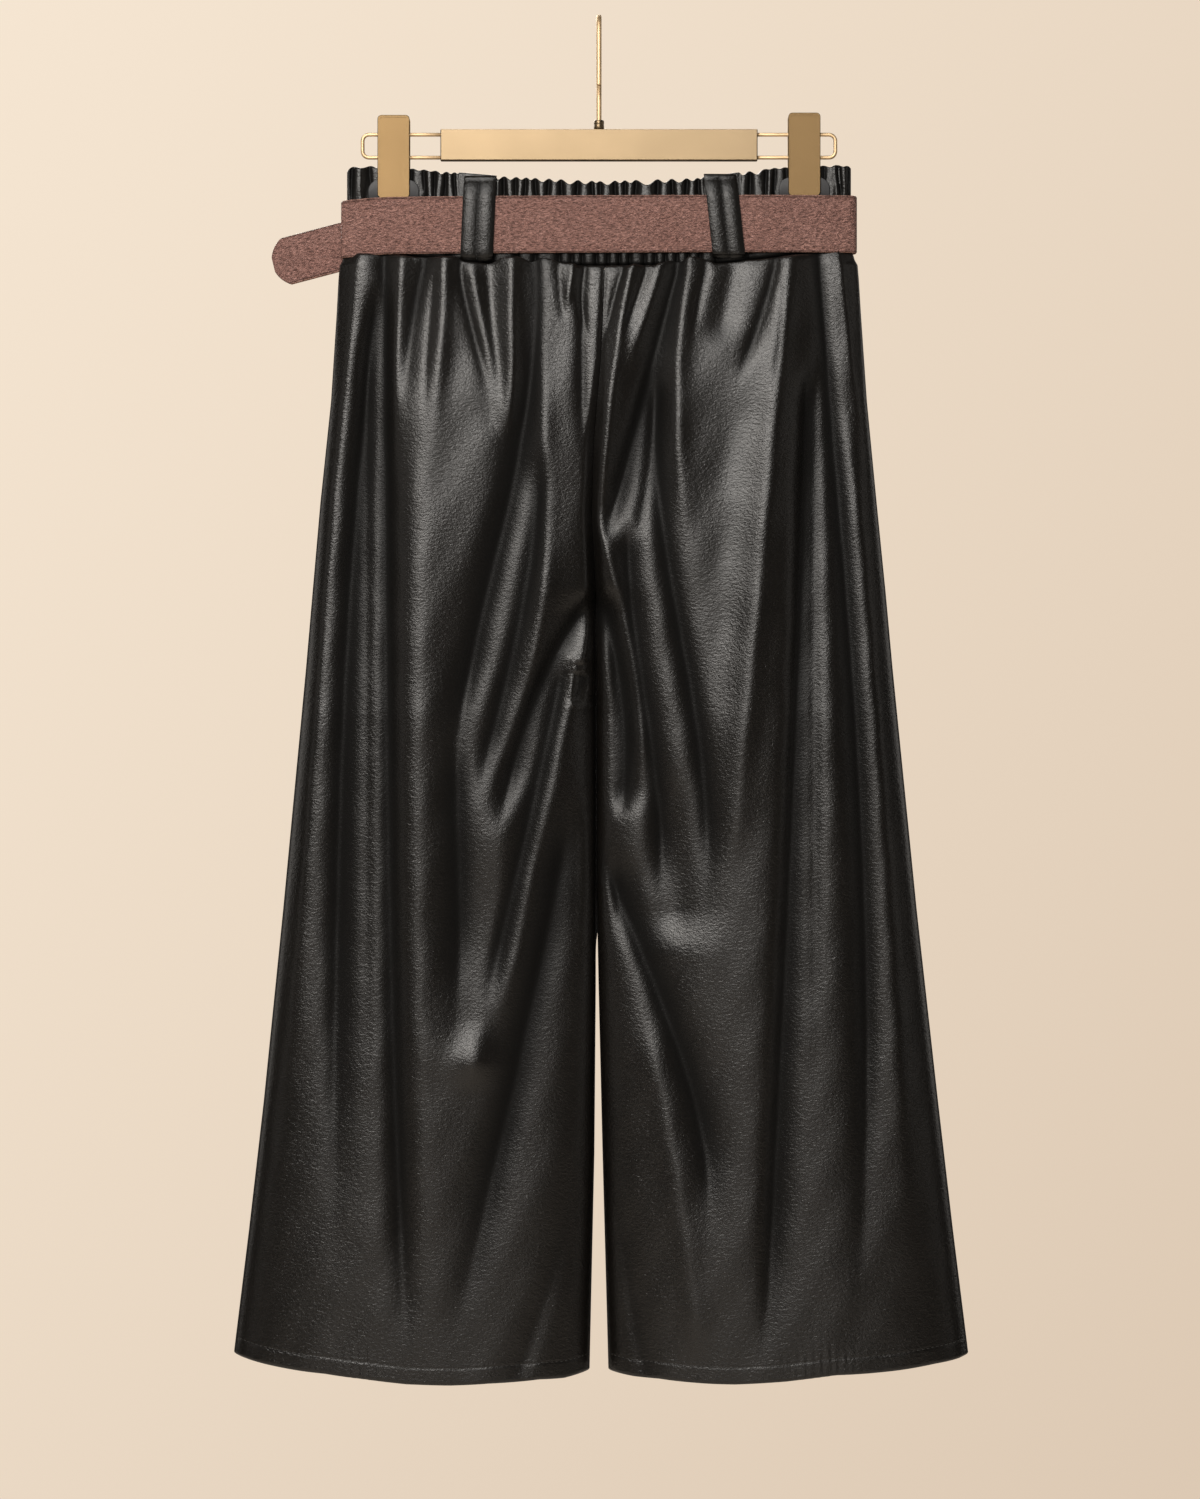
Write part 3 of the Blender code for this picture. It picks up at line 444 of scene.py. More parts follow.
# %% [markdown]
# ## The garment's form
# These are the same few sizes that the frame's solids were made from, so the cloth lies on its solid.
# Flat-hung trousers have a lens-shaped section: one lens through the seat, which parts into a lens for
# each leg. The tables give the outline and how deep each lens is, by drop.

# %% Sizes of the form
GAP = 0.0003
HALF_GAP = GAP / 2
LEG_WALL = 0.0012
LEG_LIP = 0.0015
LEAST_STAND_OFF = 0.0026
LENS_POWER = 2.5
BAND_HALF_WIDTH = 0.1978
BAND_HALF_DEPTH = 0.0125
SEAM_DROP = 0.1930
CROTCH_DROP = 0.5385
CROTCH_EASE = 0.0008
HEM_DROP = 1.0450
HEM_SAG = 0.0135
HEM_LEAN = 0.0135
HEM_STITCH_UP = 0.0132       # the hem's stitch line, above its edge

FACES = {"back": -1.0, "front": 1.0}       # sign of y
SIDES = {"left": -1.0, "right": 1.0}       # sign of x

BODY = table("drop left right back front parted", [
    (0.181, 0.1978, 0.1978, 0.0155, 0.0150, 0.00),
    (0.186, 0.1984, 0.1990, 0.0165, 0.0155, 0.00),
    (0.193, 0.2035, 0.2030, 0.0175, 0.0165, 0.00),
    (0.205, 0.2045, 0.2040, 0.0185, 0.0172, 0.00),
    (0.230, 0.2058, 0.2055, 0.0200, 0.0185, 0.02),
    (0.300, 0.2103, 0.2103, 0.0250, 0.0230, 0.10),
    (0.380, 0.2187, 0.2180, 0.0285, 0.0265, 0.30),
    (0.450, 0.2248, 0.2250, 0.0300, 0.0280, 0.55),
    (0.510, 0.2300, 0.2305, 0.0310, 0.0290, 0.82),
    (0.545, 0.2333, 0.2340, 0.0315, 0.0295, 1.00),
    (0.700, 0.2480, 0.2495, 0.0320, 0.0300, 1.00),
    (0.850, 0.2632, 0.2662, 0.0335, 0.0310, 1.00),
    (0.950, 0.2747, 0.2778, 0.0350, 0.0320, 1.00),
    (1.060, 0.2882, 0.2915, 0.0360, 0.0330, 1.00),
])
MIDDLE = table("drop back_seam front_seam left right", [
    (0.181, 0.0050, 0.0072, 0.0020, 0.0020),
    (0.265, 0.0016, 0.0041, 0.0020, 0.0020),
    (0.330, -0.0040, -0.0015, 0.0020, 0.0020),
    (0.390, -0.0058, -0.0033, 0.0020, 0.0020),
    (0.450, -0.0026, -0.0005, 0.0024, -0.0020),
    (0.545, -0.0022, -0.0012, 0.0024, -0.0020),
    (0.680, -0.0022, -0.0022, 0.0024, -0.0019),
    (0.760, -0.0022, -0.0022, 0.0025, -0.0003),
    (0.890, -0.0022, -0.0022, 0.0036, 0.0028),
    (1.060, -0.0022, -0.0022, 0.0074, 0.0074),
])
SEAM = table("x drop", [
    (-0.1978, 0.1830),
    (-0.1500, 0.1862),
    (-0.1150, 0.1900),
    (-0.0800, 0.1930),
    (0.0000, 0.1945),
    (0.0800, 0.1936),
    (0.1150, 0.1902),
    (0.1500, 0.1858),
    (0.1978, 0.1810),
])
BELT_LINE = table("x drop", [
    (-0.2020, 0.1654),
    (-0.1700, 0.1630),
    (0.0000, 0.1621),
    (0.2020, 0.1613),
])
HEM_RISE = table("x rise", [
    (-0.280, 0.0000),
    (-0.250, 0.0012),
    (-0.210, 0.0026),
    (-0.180, 0.0016),
    (-0.145, -0.0006),
    (-0.110, -0.0002),
    (-0.080, 0.0014),
    (-0.040, 0.0016),
    (-0.020, -0.0006),
    (0.020, 0.0006),
    (0.040, 0.0022),
    (0.100, 0.0008),
    (0.140, 0.0018),
    (0.180, 0.0046),
    (0.220, 0.0031),
    (0.260, 0.0014),
    (0.280, -0.0006),
])                           # how much higher the hem's edge hangs than its even curve


def seam_drop(x):
    """Drop of the seam between the waistband and the legs."""
    return read(SEAM, "drop", x, by="x")


def belt_drop(x):
    """Drop of the belt's middle line."""
    return read(BELT_LINE, "drop", x, by="x")


def lens(u):
    """A flat-hung section's half depth: 1 in the middle (u = 0) and 0 at its fold (u = 1), along
    the rounded curve (1 - u^p)^(1/p)."""
    return (1.0 - np.clip(np.abs(u), 0.0, 1.0) ** LENS_POWER) ** (1.0 / LENS_POWER)


# %% [markdown]
# ## The folds
# Folds make this garment, so each one is listed as a row. A row is one soft ridge (height above 0) or
# trough (below 0), in millimetres: where it starts and ends by drop, the x of its line at four even
# stations between, how far it reaches to its left and right, its height, and how long it takes to rise
# and to fall away. Round is how far its crest or its bottom is rounded. A round trough with a short fall
# makes the bright floor of a pocket, and a short reach on one side makes the sharp edge of an overlapping
# fold. Gathers start within a few millimetres of the seam.

# %% Fold tables
FOLD_COLUMNS = "top low x0 x1 x2 x3 left right height round rise fall"
FOLDS = {
    ("back", "left"): table(FOLD_COLUMNS, [
        (181, 930, -184, -213, -231, -250, 12, 12, 3.8, 12, 10, 280),
        (181, 1060, -168, -165, -160, -148, 16, 13, -10.5, 3, 8, 160),
        (200, 1010, -172, -195, -204, -205, 18, 30, -10.5, 3, 40, 330),
        (181, 380, -153, -158, -160, -158, 6, 6, 4.8, 6, 8, 100),
        (181, 315, -133, -143, -149, -153, 13, 13, -7.5, 3, 8, 90),
        (195, 330, -128, -132, -135, -135, 3.5, 3.5, -1.5, 2, 15, 60),
        (181, 350, -121, -122, -126, -129, 8, 7, 6.0, 6, 8, 110),
        (215, 1060, -132, -142, -141, -135, 17, 17, 4.4, 17, 100, 300),
        (183, 302, -109, -104, -94, -86, 8.4, 7, -5.4, 2, 8, 50),
        (190, 330, -100, -91, -82, -76, 5, 5, 3, 5, 15, 22),
        (183, 334, -86, -84, -80, -77, 10, 8, -5.8, 9, 8, 28),
        (183, 335, -67, -68, -68, -74, 7, 5, 6.2, 6, 8, 30),
        (181, 610, -50, -59, -91, -114, 23, 22, -13, 3, 8, 110),
        (230, 900, -182, -181, -181, -180, 9, 9, -2.6, 3, 60, 300),
        (540, 815, -111, -110, -109, -114, 22, 21.6, -7.5, 3, 70, 120),
        (183, 620, -45, -43, -46, -90, 8, 9, 5, 8, 8, 90),
        (330, 625, -47, -53, -74, -98, 15, 15, -7.5, 3, 50, 70),
        (445, 645, 1, -41, -65, -80, 15, 20, -11.6, 3, 25, 60),
        (495, 790, -26, -46, -69, -90, 15, 15, -7.5, 3, 30, 70),
        (480, 805, -10, -34, -58, -82, 10, 10, 4.4, 10, 40, 70),
        (620, 822, -82, -87, -92, -94, 20, 17, -7.5, 16, 110, 42),
        (560, 842, -66, -76, -88, -98, 14, 12, 6.5, 12, 230, 30),
        (600, 1065, -20, -49, -84, -118, 25.2, 28.8, -8.7, 3, 70, 200),
        (452, 508, -5, -7, -10, -13, 4.5, 3, 5, 3, 30, 4),
        (470, 530, -2.5, -1.5, -1, -3, 1.2, 1.2, 1.8, 0.8, 20, 12),
        (499, 514, -13, -19.5, -19.5, -15, 1.4, 1.4, 2.4, 0.6, 2, 2),
        (500, 512, -12, -9.5, -9.5, -14, 1.4, 1.4, 2.4, 0.6, 2, 2),
        (512, 541, -19, -21.5, -21.5, -19.5, 1.4, 1.4, 2, 0.6, 3, 3),
        (521, 541, -5, -9, -14, -19.5, 1.4, 1.4, 2, 0.6, 3, 3),
        (511, 542, -13, -12, -14, -18, 7, 7, -6, 3, 5, 10),
        (183, 243, -32, -31, -29, -27, 5, 4, -3.5, 4, 6, 18),
        (183, 237, -20, -21, -24, -27, 3, 3, 2.5, 3, 6, 25),
        (185, 262, -6, -14, -12, -4, 5.6, 5.6, -3.6, 2, 8, 40),
        (190, 352, -10, -13, -13, -13, 8, 8, -4.6, 3, 10, 60),
        (900, 1075, -18, -30, -48, -66, 10, 10, -2, 5, 60, 30),
    ]),
    ("back", "right"): table(FOLD_COLUMNS, [
        (183, 275, 25, 14, 6, -2, 7, 5.6, -4.2, 2, 8, 40),
        (183, 420, 29, 14, 5, -3, 6, 7, 7.4, 5, 8, 90),
        (183, 258, 41, 34, 25, 17, 5.6, 5.6, -3.6, 2, 6, 30),
        (183, 285, 51, 42, 31, 20, 6, 5, 3.5, 5, 8, 40),
        (181, 425, 67, 44, 23, 0, 15, 28, -13, 3, 8, 60),
        (262, 715, 50, 52, 78, 80, 15, 15, -8.7, 3, 40, 110),
        (390, 700, 23, 30, 45, 46, 15, 15, -8.7, 3, 35, 70),
        (385, 610, -4, 17, 31, 30, 5, 8, 4.4, 6, 25, 60),
        (440, 632, -3, 14, 21, 16, 15, 15, -9.4, 3, 30, 30),
        (560, 734, 56, 58, 59, 59, 22, 20, -7.5, 17, 110, 38),
        (183, 430, 72, 62, 62, 72, 6, 9, 5, 6, 8, 120),
        (183, 258, 88, 81, 76, 72, 7, 7, -4.2, 2, 6, 35),
        (183, 262, 104, 103, 98, 93, 14, 13, -6, 12, 6, 26),
        (181, 292, 140, 132, 120, 106, 10, 9, -6.5, 2, 8, 42),
        (181, 700, 150, 133, 116, 98, 15, 11, 6.6, 9, 8, 150),
        (262, 620, 104, 99, 94, 98, 26, 22, -3.6, 16, 60, 150),
        (205, 300, 143, 142, 139, 134, 3, 3, -1.5, 2, 15, 35),
        (262, 1060, 164, 154, 142, 128, 9, 25, -9, 3, 50, 140),
        (240, 900, 170, 168, 168, 167, 9, 9, -2.8, 3, 50, 300),
        (270, 425, 44, 42, 36, 26, 9, 9, -3.6, 3, 40, 40),
        (181, 1040, 171, 194, 208, 198, 17, 15, -10, 3, 8, 300),
        (181, 330, 188, 194, 200, 205, 5, 4, 2, 5, 8, 80),
        (300, 1000, 193, 215, 231, 243, 12, 9, 3.1, 10, 80, 200),
        (640, 965, -2, 41, 77, 84, 15, 28.8, -8, 3, 40, 110),
        (760, 1060, 30, 52, 68, 78, 10, 10, 3.1, 10, 80, 60),
        (900, 1075, 12, 18, 28, 38, 9, 9, -2.5, 4, 60, 30),
    ]),
    ("front", "left"): table(FOLD_COLUMNS, [
        (184, 640, -172, -180, -188, -196, 12, 10, -6, 2, 10, 160),
        (184, 420, -150, -154, -158, -164, 7, 9, 4, 8, 9, 90),
        (186, 380, -128, -126, -122, -118, 8, 6, -4.5, 2, 9, 50),
        (184, 820, -108, -118, -132, -140, 17, 15, 6.5, 16, 10, 240),
        (186, 520, -80, -84, -92, -106, 8, 9, -5.5, 2, 9, 90),
        (184, 460, -60, -58, -62, -72, 9, 8, 4, 8, 9, 120),
        (186, 620, -36, -42, -60, -92, 10, 7, -6.5, 2, 9, 120),
        (184, 380, -18, -17, -16, -14, 8, 7, 3.5, 8, 9, 120),
        (470, 900, -14, -40, -66, -96, 12, 13, -6.5, 2, 60, 150),
        (500, 900, -10, -24, -44, -66, 9, 10, 5, 10, 60, 150),
        (520, 1050, -160, -166, -172, -180, 15, 12, -5, 2, 130, 230),
        (620, 1060, -112, -114, -110, -104, 16, 14, 4, 15, 130, 200),
    ]),
    ("front", "right"): table(FOLD_COLUMNS, [
        (184, 600, 170, 178, 186, 192, 10, 12, -6, 2, 10, 160),
        (184, 440, 148, 150, 156, 166, 9, 8, 4.5, 8, 9, 100),
        (186, 400, 126, 130, 128, 122, 7, 7, -4, 2, 9, 60),
        (184, 780, 106, 116, 124, 134, 15, 17, 6, 16, 10, 220),
        (186, 500, 76, 84, 94, 104, 9, 8, -5.5, 2, 9, 100),
        (184, 420, 52, 54, 60, 68, 9, 9, 4, 9, 9, 100),
        (186, 640, 30, 42, 62, 90, 8, 11, -6.5, 2, 9, 130),
        (184, 400, 12, 14, 14, 12, 7, 8, 3.5, 8, 9, 120),
        (480, 920, 12, 38, 62, 94, 12, 12, -6, 2, 60, 150),
        (520, 860, 8, 22, 40, 60, 10, 9, 4.5, 10, 60, 130),
        (540, 1050, 164, 168, 176, 184, 12, 15, -5, 2, 130, 230),
        (640, 1060, 116, 118, 114, 110, 15, 15, 4, 15, 130, 200),
    ]),
}


# %% [markdown]
# ## From rows to cloth
# A deep trough in real cloth closes on itself, and no light gets into it. A smooth surface would still
# shine there, so each point also gets a share of painted shade, and the finish turns matt and dark with
# it. Round troughs get none, and sharp ridges clear it around them.

# %% Relief of the folds
FOLD_SPREAD = 3.0            # how far a fold's reach grows below the waist
SPREADS = (215.0, 180.0)     # where it starts to, and over what drop
FOLD_STEEPNESS = 0.60        # greatest height, as a share of the fold's reach
FOLD_SHARE = 0.6
PINCHED = 0.45               # how much narrower a trough is as it leaves the waist
PINCH_ENDS = (195.0, 190.0)
GATHERED_TO = 199.0          # folds that start at the waist seam have their whole height above this drop
FULL_SHADE_DEPTH = 7.0              # a trough this deep gets the full painted shade
SHADE_SHARE = 0.56          # how far out the painted shade reaches, as a share of the trough's reach
OPEN_ROUND = 8.0             # a trough this round gets no painted shade
SHARP_RIDGE = 4.0            # a ridge sharper than this clears the painted shade around it


def fold_line(t, x0, x1, x2, x3):
    """The cubic through stations at 0, 1/3, 2/3 and 1, and its slope."""
    a, b, c = t - 1 / 3, t - 2 / 3, t - 1
    path = -4.5 * a * b * c * x0 + 13.5 * t * b * c * x1 - 13.5 * t * a * c * x2 + 4.5 * t * a * b * x3
    slope = (-4.5 * (b * c + a * c + a * b) * x0 + 13.5 * (b * c + t * c + t * b) * x1
             - 13.5 * (a * c + t * c + t * a) * x2 + 4.5 * (a * b + t * b + t * a) * x3)
    return path, slope


def fold_relief(folds, x, drop):
    """Sum of the folds, in metres, and the painted shade in its troughs, below 0 on a sharp ridge. A fold
    is exp(-(sqrt(a^2 + round^2) - round) / (0.6 reach)), where a is the distance square to its line,
    times its rise and fall. A small round makes a crease, and one as long as the reach makes a bell.
    Folds spread as they fall away from the waist, and a height is held below a share of the fold's reach."""
    total, closed, shade_cleared = np.zeros_like(x), np.zeros_like(x), np.zeros_like(x)
    x_mm, drop_mm = x / MM, drop / MM
    spread = FOLD_SPREAD * ramp(drop_mm, *SPREADS)
    pinch = PINCHED * fade(drop_mm, *PINCH_ENDS)
    for top, low, x0, x1, x2, x3, left, right, height, bend, rise, fall in zip(*folds.values()):
        path, slope = fold_line((drop_mm - top) / (low - top), x0, x1, x2, x3)
        away = (x_mm - path) / np.sqrt(1.0 + (slope / (low - top)) ** 2)
        narrow = 1.0 - pinch * (height < 0.0)
        reach = narrow * np.sqrt(np.where(away < 0.0, left, right) ** 2 + spread ** 2)
        most = FOLD_STEEPNESS * max(left, right)
        along = smooth((np.maximum(drop_mm, GATHERED_TO) - top) / rise) * smooth((low - drop_mm) / fall)
        profile = np.exp((bend - np.sqrt(away ** 2 + bend ** 2)) / (FOLD_SHARE * reach))
        total += most * math.tanh(height / most) * narrow * profile * along
        # Painted shade in a sharp trough; a sharp ridge clears it around itself.
        if height < 0.0 and bend < OPEN_ROUND:
            deep = min(-height / FULL_SHADE_DEPTH, 1.0)
            closed = np.maximum(closed, deep * along * np.exp(-(away / (SHADE_SHARE * reach)) ** 2))
        elif 0.0 < height and bend < SHARP_RIDGE:
            shade_cleared += along * np.exp(-(away / reach) ** 2)
    return total * MM, closed - 2.0 * shade_cleared


print("folds:", {"_".join(key): len(rows["top"]) for key, rows in FOLDS.items()})

# %% [markdown]
# ## A leg panel
# A panel runs from the centre seam and inseam to the outseam, and from the waist seam to the hem. Its
# stand-off from the middle plane is the lens, plus the folds, plus a slight unevenness that no hand
# would place: sums of long sine waves, a quarter of a millimetre high. Folds near the centre seam reach
# across it, so above the crotch a panel takes its neighbour's folds too. At the waist the cloth swells
# up and over the seam, as its gathers have nowhere else to go.

# %% Sizes of a leg panel
LEG_GRID = {"back": (150, 222), "front": (104, 180)}                   # columns and rows between
CURL_ROWS = {"back": np.arange(0.4475, 0.5450, 0.0023), "front": []}   # more rows for the crotch's curl
FULLNESS = 1.15              # the folds sink the cloth between them, so its crests start further out
EDGE_FADE = 0.07             # share of the width over which folds fade out at a panel's edges
SEAM_EASE = 0.080            # the rows follow the waist seam's curve down to this far below it
SAG_FROM = 0.800             # and the hem's curve from this drop on
GAP_SHOWS = 0.715            # above this the front's inseams lean over the gap between the legs
FRONT_LEAN = 0.0025
PUFF_RISE = 0.0075           # the cloth rolls out of the waist seam within this
PUFF_LIFT = 0.0026
HEM_PUCKERS = {"left": (-0.184, 0.014), "right": (0.171, 0.022)}       # middle and reach, on the back
PUCKER_PITCH = 0.0062
FULL_SHADE_VALLEY = 0.0110         # a valley this deep along the centre seam gets the full painted shade
SEAM_VALLEY = table("drop depth reach", [
    (0.190, 0.0008, 0.0022),
    (0.260, 0.0012, 0.0024),
    (0.320, 0.0040, 0.0045),
    (0.440, 0.0050, 0.0042),
    (0.545, 0.0010, 0.0050),
])
PUFF_TOP = table("x drop", [
    (-0.200, 0.1868),
    (-0.112, 0.1870),
    (-0.104, 0.1915),
    (-0.093, 0.1945),
    (-0.084, 0.1920),
    (-0.076, 0.1885),
    (-0.062, 0.1880),
    (-0.053, 0.1915),
    (-0.045, 0.1885),
    (-0.036, 0.1900),
    (-0.028, 0.1925),
    (-0.020, 0.1925),
    (-0.012, 0.1965),
    (0.020, 0.1960),
    (0.027, 0.1930),
    (0.040, 0.1950),
    (0.054, 0.1905),
    (0.064, 0.1915),
    (0.071, 0.1875),
    (0.085, 0.1900),
    (0.092, 0.1925),
    (0.105, 0.1920),
    (0.115, 0.1895),
    (0.134, 0.1885),
    (0.143, 0.1868),
    (0.200, 0.1868),
])                           # on the back, how high the cloth swells over the waist seam

# %% Leg panels


def slow_waves(x, drop, face):
    """Slight unevenness: three crossed sine waves, 35 to 120 mm long, of different heights."""
    shift = 1.7 * FACES[face]
    return MM * (0.28 * np.sin(x * 62.0 + drop * 21.0 + shift) * np.sin(drop * 34.0 - shift)
                 + 0.20 * np.sin(x * 110.0 - drop * 47.0 + 2.1) * np.cos(drop * 58.0 + x * 30.0)
                 + 0.14 * np.sin(x * 175.0 + drop * 95.0 + shift))


def band_foot(x):
    """How far the waistband's foot stands off the middle plane."""
    return np.maximum(BAND_HALF_DEPTH * lens(x / BAND_HALF_WIDTH), 0.0042)


def leg_rows(face):
    """Drops of the rows: about 1 mm apart under the waist seam and in the hem, and even between."""
    top = SEAM_DROP + 0.030 * np.linspace(0.0, 1.0, 36) ** 1.3
    low = np.linspace(HEM_DROP - 0.020, HEM_DROP, 21)
    middle = np.linspace(top[-1], low[0], LEG_GRID[face][1])[:-1]
    return np.concatenate([top[:-1], np.sort(np.concatenate([middle, CURL_ROWS[face]])), low])


def leg_columns(face):
    """Ways across, from the middle edge to the outseam, closer together at both, ends doubled."""
    t = np.linspace(0.0, 1.0, LEG_GRID[face][0])
    spread = 0.45 * t + 0.275 * (1.0 - np.cos(math.pi * t))
    return np.concatenate([[0.0], spread, [1.0]])


def hem_edge(up):
    """The hem's own relief by height above its edge: a rounded edge, a raised turn-up of a second
    layer, and a groove where the stitches pull the layers together."""
    groove = np.exp(-((up - HEM_STITCH_UP) / 0.0011) ** 2)
    layer = 1.0 - smooth((up - HEM_STITCH_UP) / 0.0030)
    return 0.0003 * layer - 0.0004 * groove - 0.0011 * (1.0 - smooth(up / 0.0022)) ** 2


def leg_outline(face, side, s, row):
    """A panel hanging flat, s of the way across and with its rows by drop: x, drop, and the x of the
    centre seam. Its edges are the centre seam, then the inseam, and the outseam."""
    x_sign = SIDES[side]
    start = read(MIDDLE, face + "_seam", SEAM_DROP)
    seam_shift = seam_drop(start + (x_sign * BAND_HALF_WIDTH - start) * s) + GAP - SEAM_DROP
    sag = HEM_SAG * (1.0 - np.abs(2.0 * s - 1.0) ** 2.8) + HEM_LEAN * (1.0 - s)
    sag -= read(HEM_RISE, "rise", x_sign * s * read(BODY, side, HEM_DROP), by="x")
    drop = row + seam_shift * fade(row, SEAM_DROP, SEAM_EASE)
    drop += sag * ramp(row, SAG_FROM, HEM_DROP - SAG_FROM)
    centre_x = read(MIDDLE, face + "_seam", drop) + x_sign * HALF_GAP
    middle_x = np.where(row > CROTCH_DROP, x_sign * read(MIDDLE, side, drop), centre_x)
    return middle_x + (x_sign * read(BODY, side, drop) - middle_x) * s, drop, centre_x


def leg_relief(face, side, s, row, x, drop, centre_x):
    """What stands out of a panel's flat form, and its painted shade: its own folds, its
    neighbour's above the crotch, slow waves, the valley along the centre seam, and the hem."""
    other = "left" if side == "right" else "right"
    shared = fade(drop, 0.500, 0.035)
    relief, closed = fold_relief(FOLDS[face, side], x, drop)
    relief_over, shade_over = fold_relief(FOLDS[face, other], x, drop)
    relief += shared * relief_over + slow_waves(x, drop, face)
    # Painted shade from the neighbour's troughs, where the cloth's own sharp ridges don't clear it.
    closed = np.where(closed < 0.0, closed, np.maximum(closed, shared * shade_over))
    outer_fade = smooth((1.0 - s) / EDGE_FADE)
    relief *= outer_fade * (1.0 - ramp(drop, 0.47, 0.06) * fade(s, 0.0, EDGE_FADE))

    off_seam = (x - centre_x) / read(SEAM_VALLEY, "reach", drop)
    valley = read(SEAM_VALLEY, "depth", drop) * np.exp(-off_seam ** 2)
    valley = np.where(row > CROTCH_DROP, 0.0, valley)
    relief -= valley
    # Painted shade along the centre seam's valley, growing with its depth.
    closed = np.clip(closed + valley / FULL_SHADE_VALLEY, 0.0, 1.0) * outer_fade

    up = HEM_DROP - row
    relief += hem_edge(up) * smooth(s / 0.02) * smooth((1.0 - s) / 0.02)
    if face == "back":
        middle, reach = HEM_PUCKERS[side]
        ripple = np.cos((x - middle) * 2.0 * math.pi / PUCKER_PITCH)
        ripple *= np.exp(-((x - middle) / reach) ** 2)
        relief += 0.0006 * ripple * fade(up, 0.016, 0.012)
    return relief, closed


def leg_surface(face, side):
    """Points of a panel's outside, each row's height above the hem's edge, and its painted shade.
    The stand-off is kept above a least one by the soft maximum ln(1 + e^t), and rolls into the seam."""
    s, row = np.meshgrid(leg_columns(face), leg_rows(face))
    x_sign, y_sign = SIDES[side], FACES[face]
    x, drop, centre_x = leg_outline(face, side, s, row)
    relief, closed = leg_relief(face, side, s, row, x, drop, centre_x)
    parted = read(BODY, "parted", drop)
    form = (1.0 - parted) * lens(s) + parted * lens(2.0 * s - 1.0)
    stand_off = FULLNESS * read(BODY, face, drop) * form + relief
    stand_off = LEAST_STAND_OFF + np.logaddexp(0.0, (stand_off - LEAST_STAND_OFF) / 0.0012) * 0.0012

    roll = np.clip((row - SEAM_DROP) / PUFF_RISE, 0.0, 1.0)
    sewn = band_foot(x) - 0.0004
    stand_off = sewn + (stand_off - sewn) * np.sin(0.5 * math.pi * roll) ** 0.55
    lift = PUFF_LIFT
    if face == "back":
        lift = lift + 1.2 * np.maximum(seam_drop(x) - read(PUFF_TOP, "drop", x, by="x"), 0.0)
    drop = drop - lift * np.sin(math.pi * roll)
    below = row[:, 0] > CROTCH_DROP
    if face == "front":
        hidden = fade(drop, GAP_SHOWS, 0.020) * below[:, None]
        x = x + FRONT_LEAN * hidden * smooth(stand_off / 0.008) * fade(s, 0.0, 0.2)

    points = np.stack([x, y_sign * stand_off, -drop], axis=-1)
    points[:, -1, 1] = y_sign * HALF_GAP
    points[:, -2, 1] = y_sign * (HALF_GAP + LEG_LIP)
    points[~below, 1, 0] += x_sign * 0.0003
    inseam_gap = HALF_GAP + CROTCH_EASE * np.exp(-((row[below, 0] - CROTCH_DROP) / 0.012) ** 2)
    points[below, 0, 1] = y_sign * inseam_gap
    points[below, 1, 1] = y_sign * (inseam_gap + LEG_LIP)
    return points, HEM_DROP - row, closed


def leg_panel(face, side):
    """One panel as a piece: a skin with a knit inside."""
    points, _, closed = leg_surface(face, side)
    points, closed = turned(SIDES[side] * FACES[face], points, closed)
    name = "leg_" + face + "_" + side
    mesh = new_mesh("cloth_" + name, points, grid_quads(*points.shape[:2]))
    mark_painted_shade(mesh, closed)
    across = np.linalg.norm(np.diff(points, axis=1), axis=2).sum(axis=1)
    down = np.linalg.norm(np.diff(points, axis=0), axis=2).sum(axis=0)
    print(name, "across at waist, knee and hem, mm:", np.round(across[[12, len(across) // 2, -1]] / MM),
          "longest down:", round(float(down.max()) / MM))
    return wall(place(mesh, [FAUX_LEATHER, KNIT], [name]), LEG_WALL, inner_material=1)


LEGS = {(face, side): leg_panel(face, side) for face in FACES for side in SIDES}

# %% [markdown]
# ## The gathered waistband
# Elastic runs inside a folded casing and draws it into tubes that point up and down. Each casing, back
# and front, is one closed surface: a long thin section, up the outside, over a rounded top and down the
# inside, carried from side seam to side seam. Between two pinches the cloth swells out and its rim dips.
# The pinches are uneven, so each one is a number in a list: one list along the top, and one along the
# foot, where the leg's gathers push back. The clips and the loops hold it flat.

# %% Waistband
BELT_OFF = {"back": 0.0025, "front": 0.0044}      # the belt's middle, out from the waistband
BELT_WALL = 0.0030
BAND_HEIGHT = 0.0660
BAND_WALL = 0.0028
BAND_LEAN = 0.0022           # how far a pinch wanders sideways on its way down
BAND_RIM = 0.0014            # the rounded top's radius
CLIP_X = 0.1610
LOOP_X = 0.0960
BAND_TOP = table("x drop half_depth", [
    (-0.1978, 0.1165, 0.0045),
    (-0.1860, 0.1154, 0.0042),
    (-0.1820, 0.1154, 0.0035),
    (-0.1400, 0.1180, 0.0035),
    (-0.1340, 0.1190, 0.0055),
    (-0.0780, 0.1240, 0.0085),
    (0.0000, 0.1280, 0.0095),
    (0.0790, 0.1254, 0.0085),
    (0.1320, 0.1180, 0.0055),
    (0.1400, 0.1168, 0.0035),
    (0.1820, 0.1150, 0.0035),
    (0.1860, 0.1146, 0.0042),
    (0.1978, 0.1155, 0.0045),
])
PINCHES = MM * np.array([
    -206, -194, -180, -169, -158, -147, -137.4, -128.7, -120.1, -113.8, -106.8, -97, -86, -74.6, -65.2,
    -57.3, -50.2, -39.3, -29.8, -16.5, -5.5, 0.8, 12.6, 20.4, 29.0, 46.3, 57.3, 69.1, 77.7, 87, 98, 109.1,
    118.5, 131.1, 138.2, 146.8, 157, 167, 177, 188, 196, 206])
FOOT_PINCHES = MM * np.array([
    -206, -150, -118, -84, -64, -50, -31, -21, -13, -2, 7, 16, 24, 36, 44, 52, 61, 70, 79, 92, 118, 152,
    206])


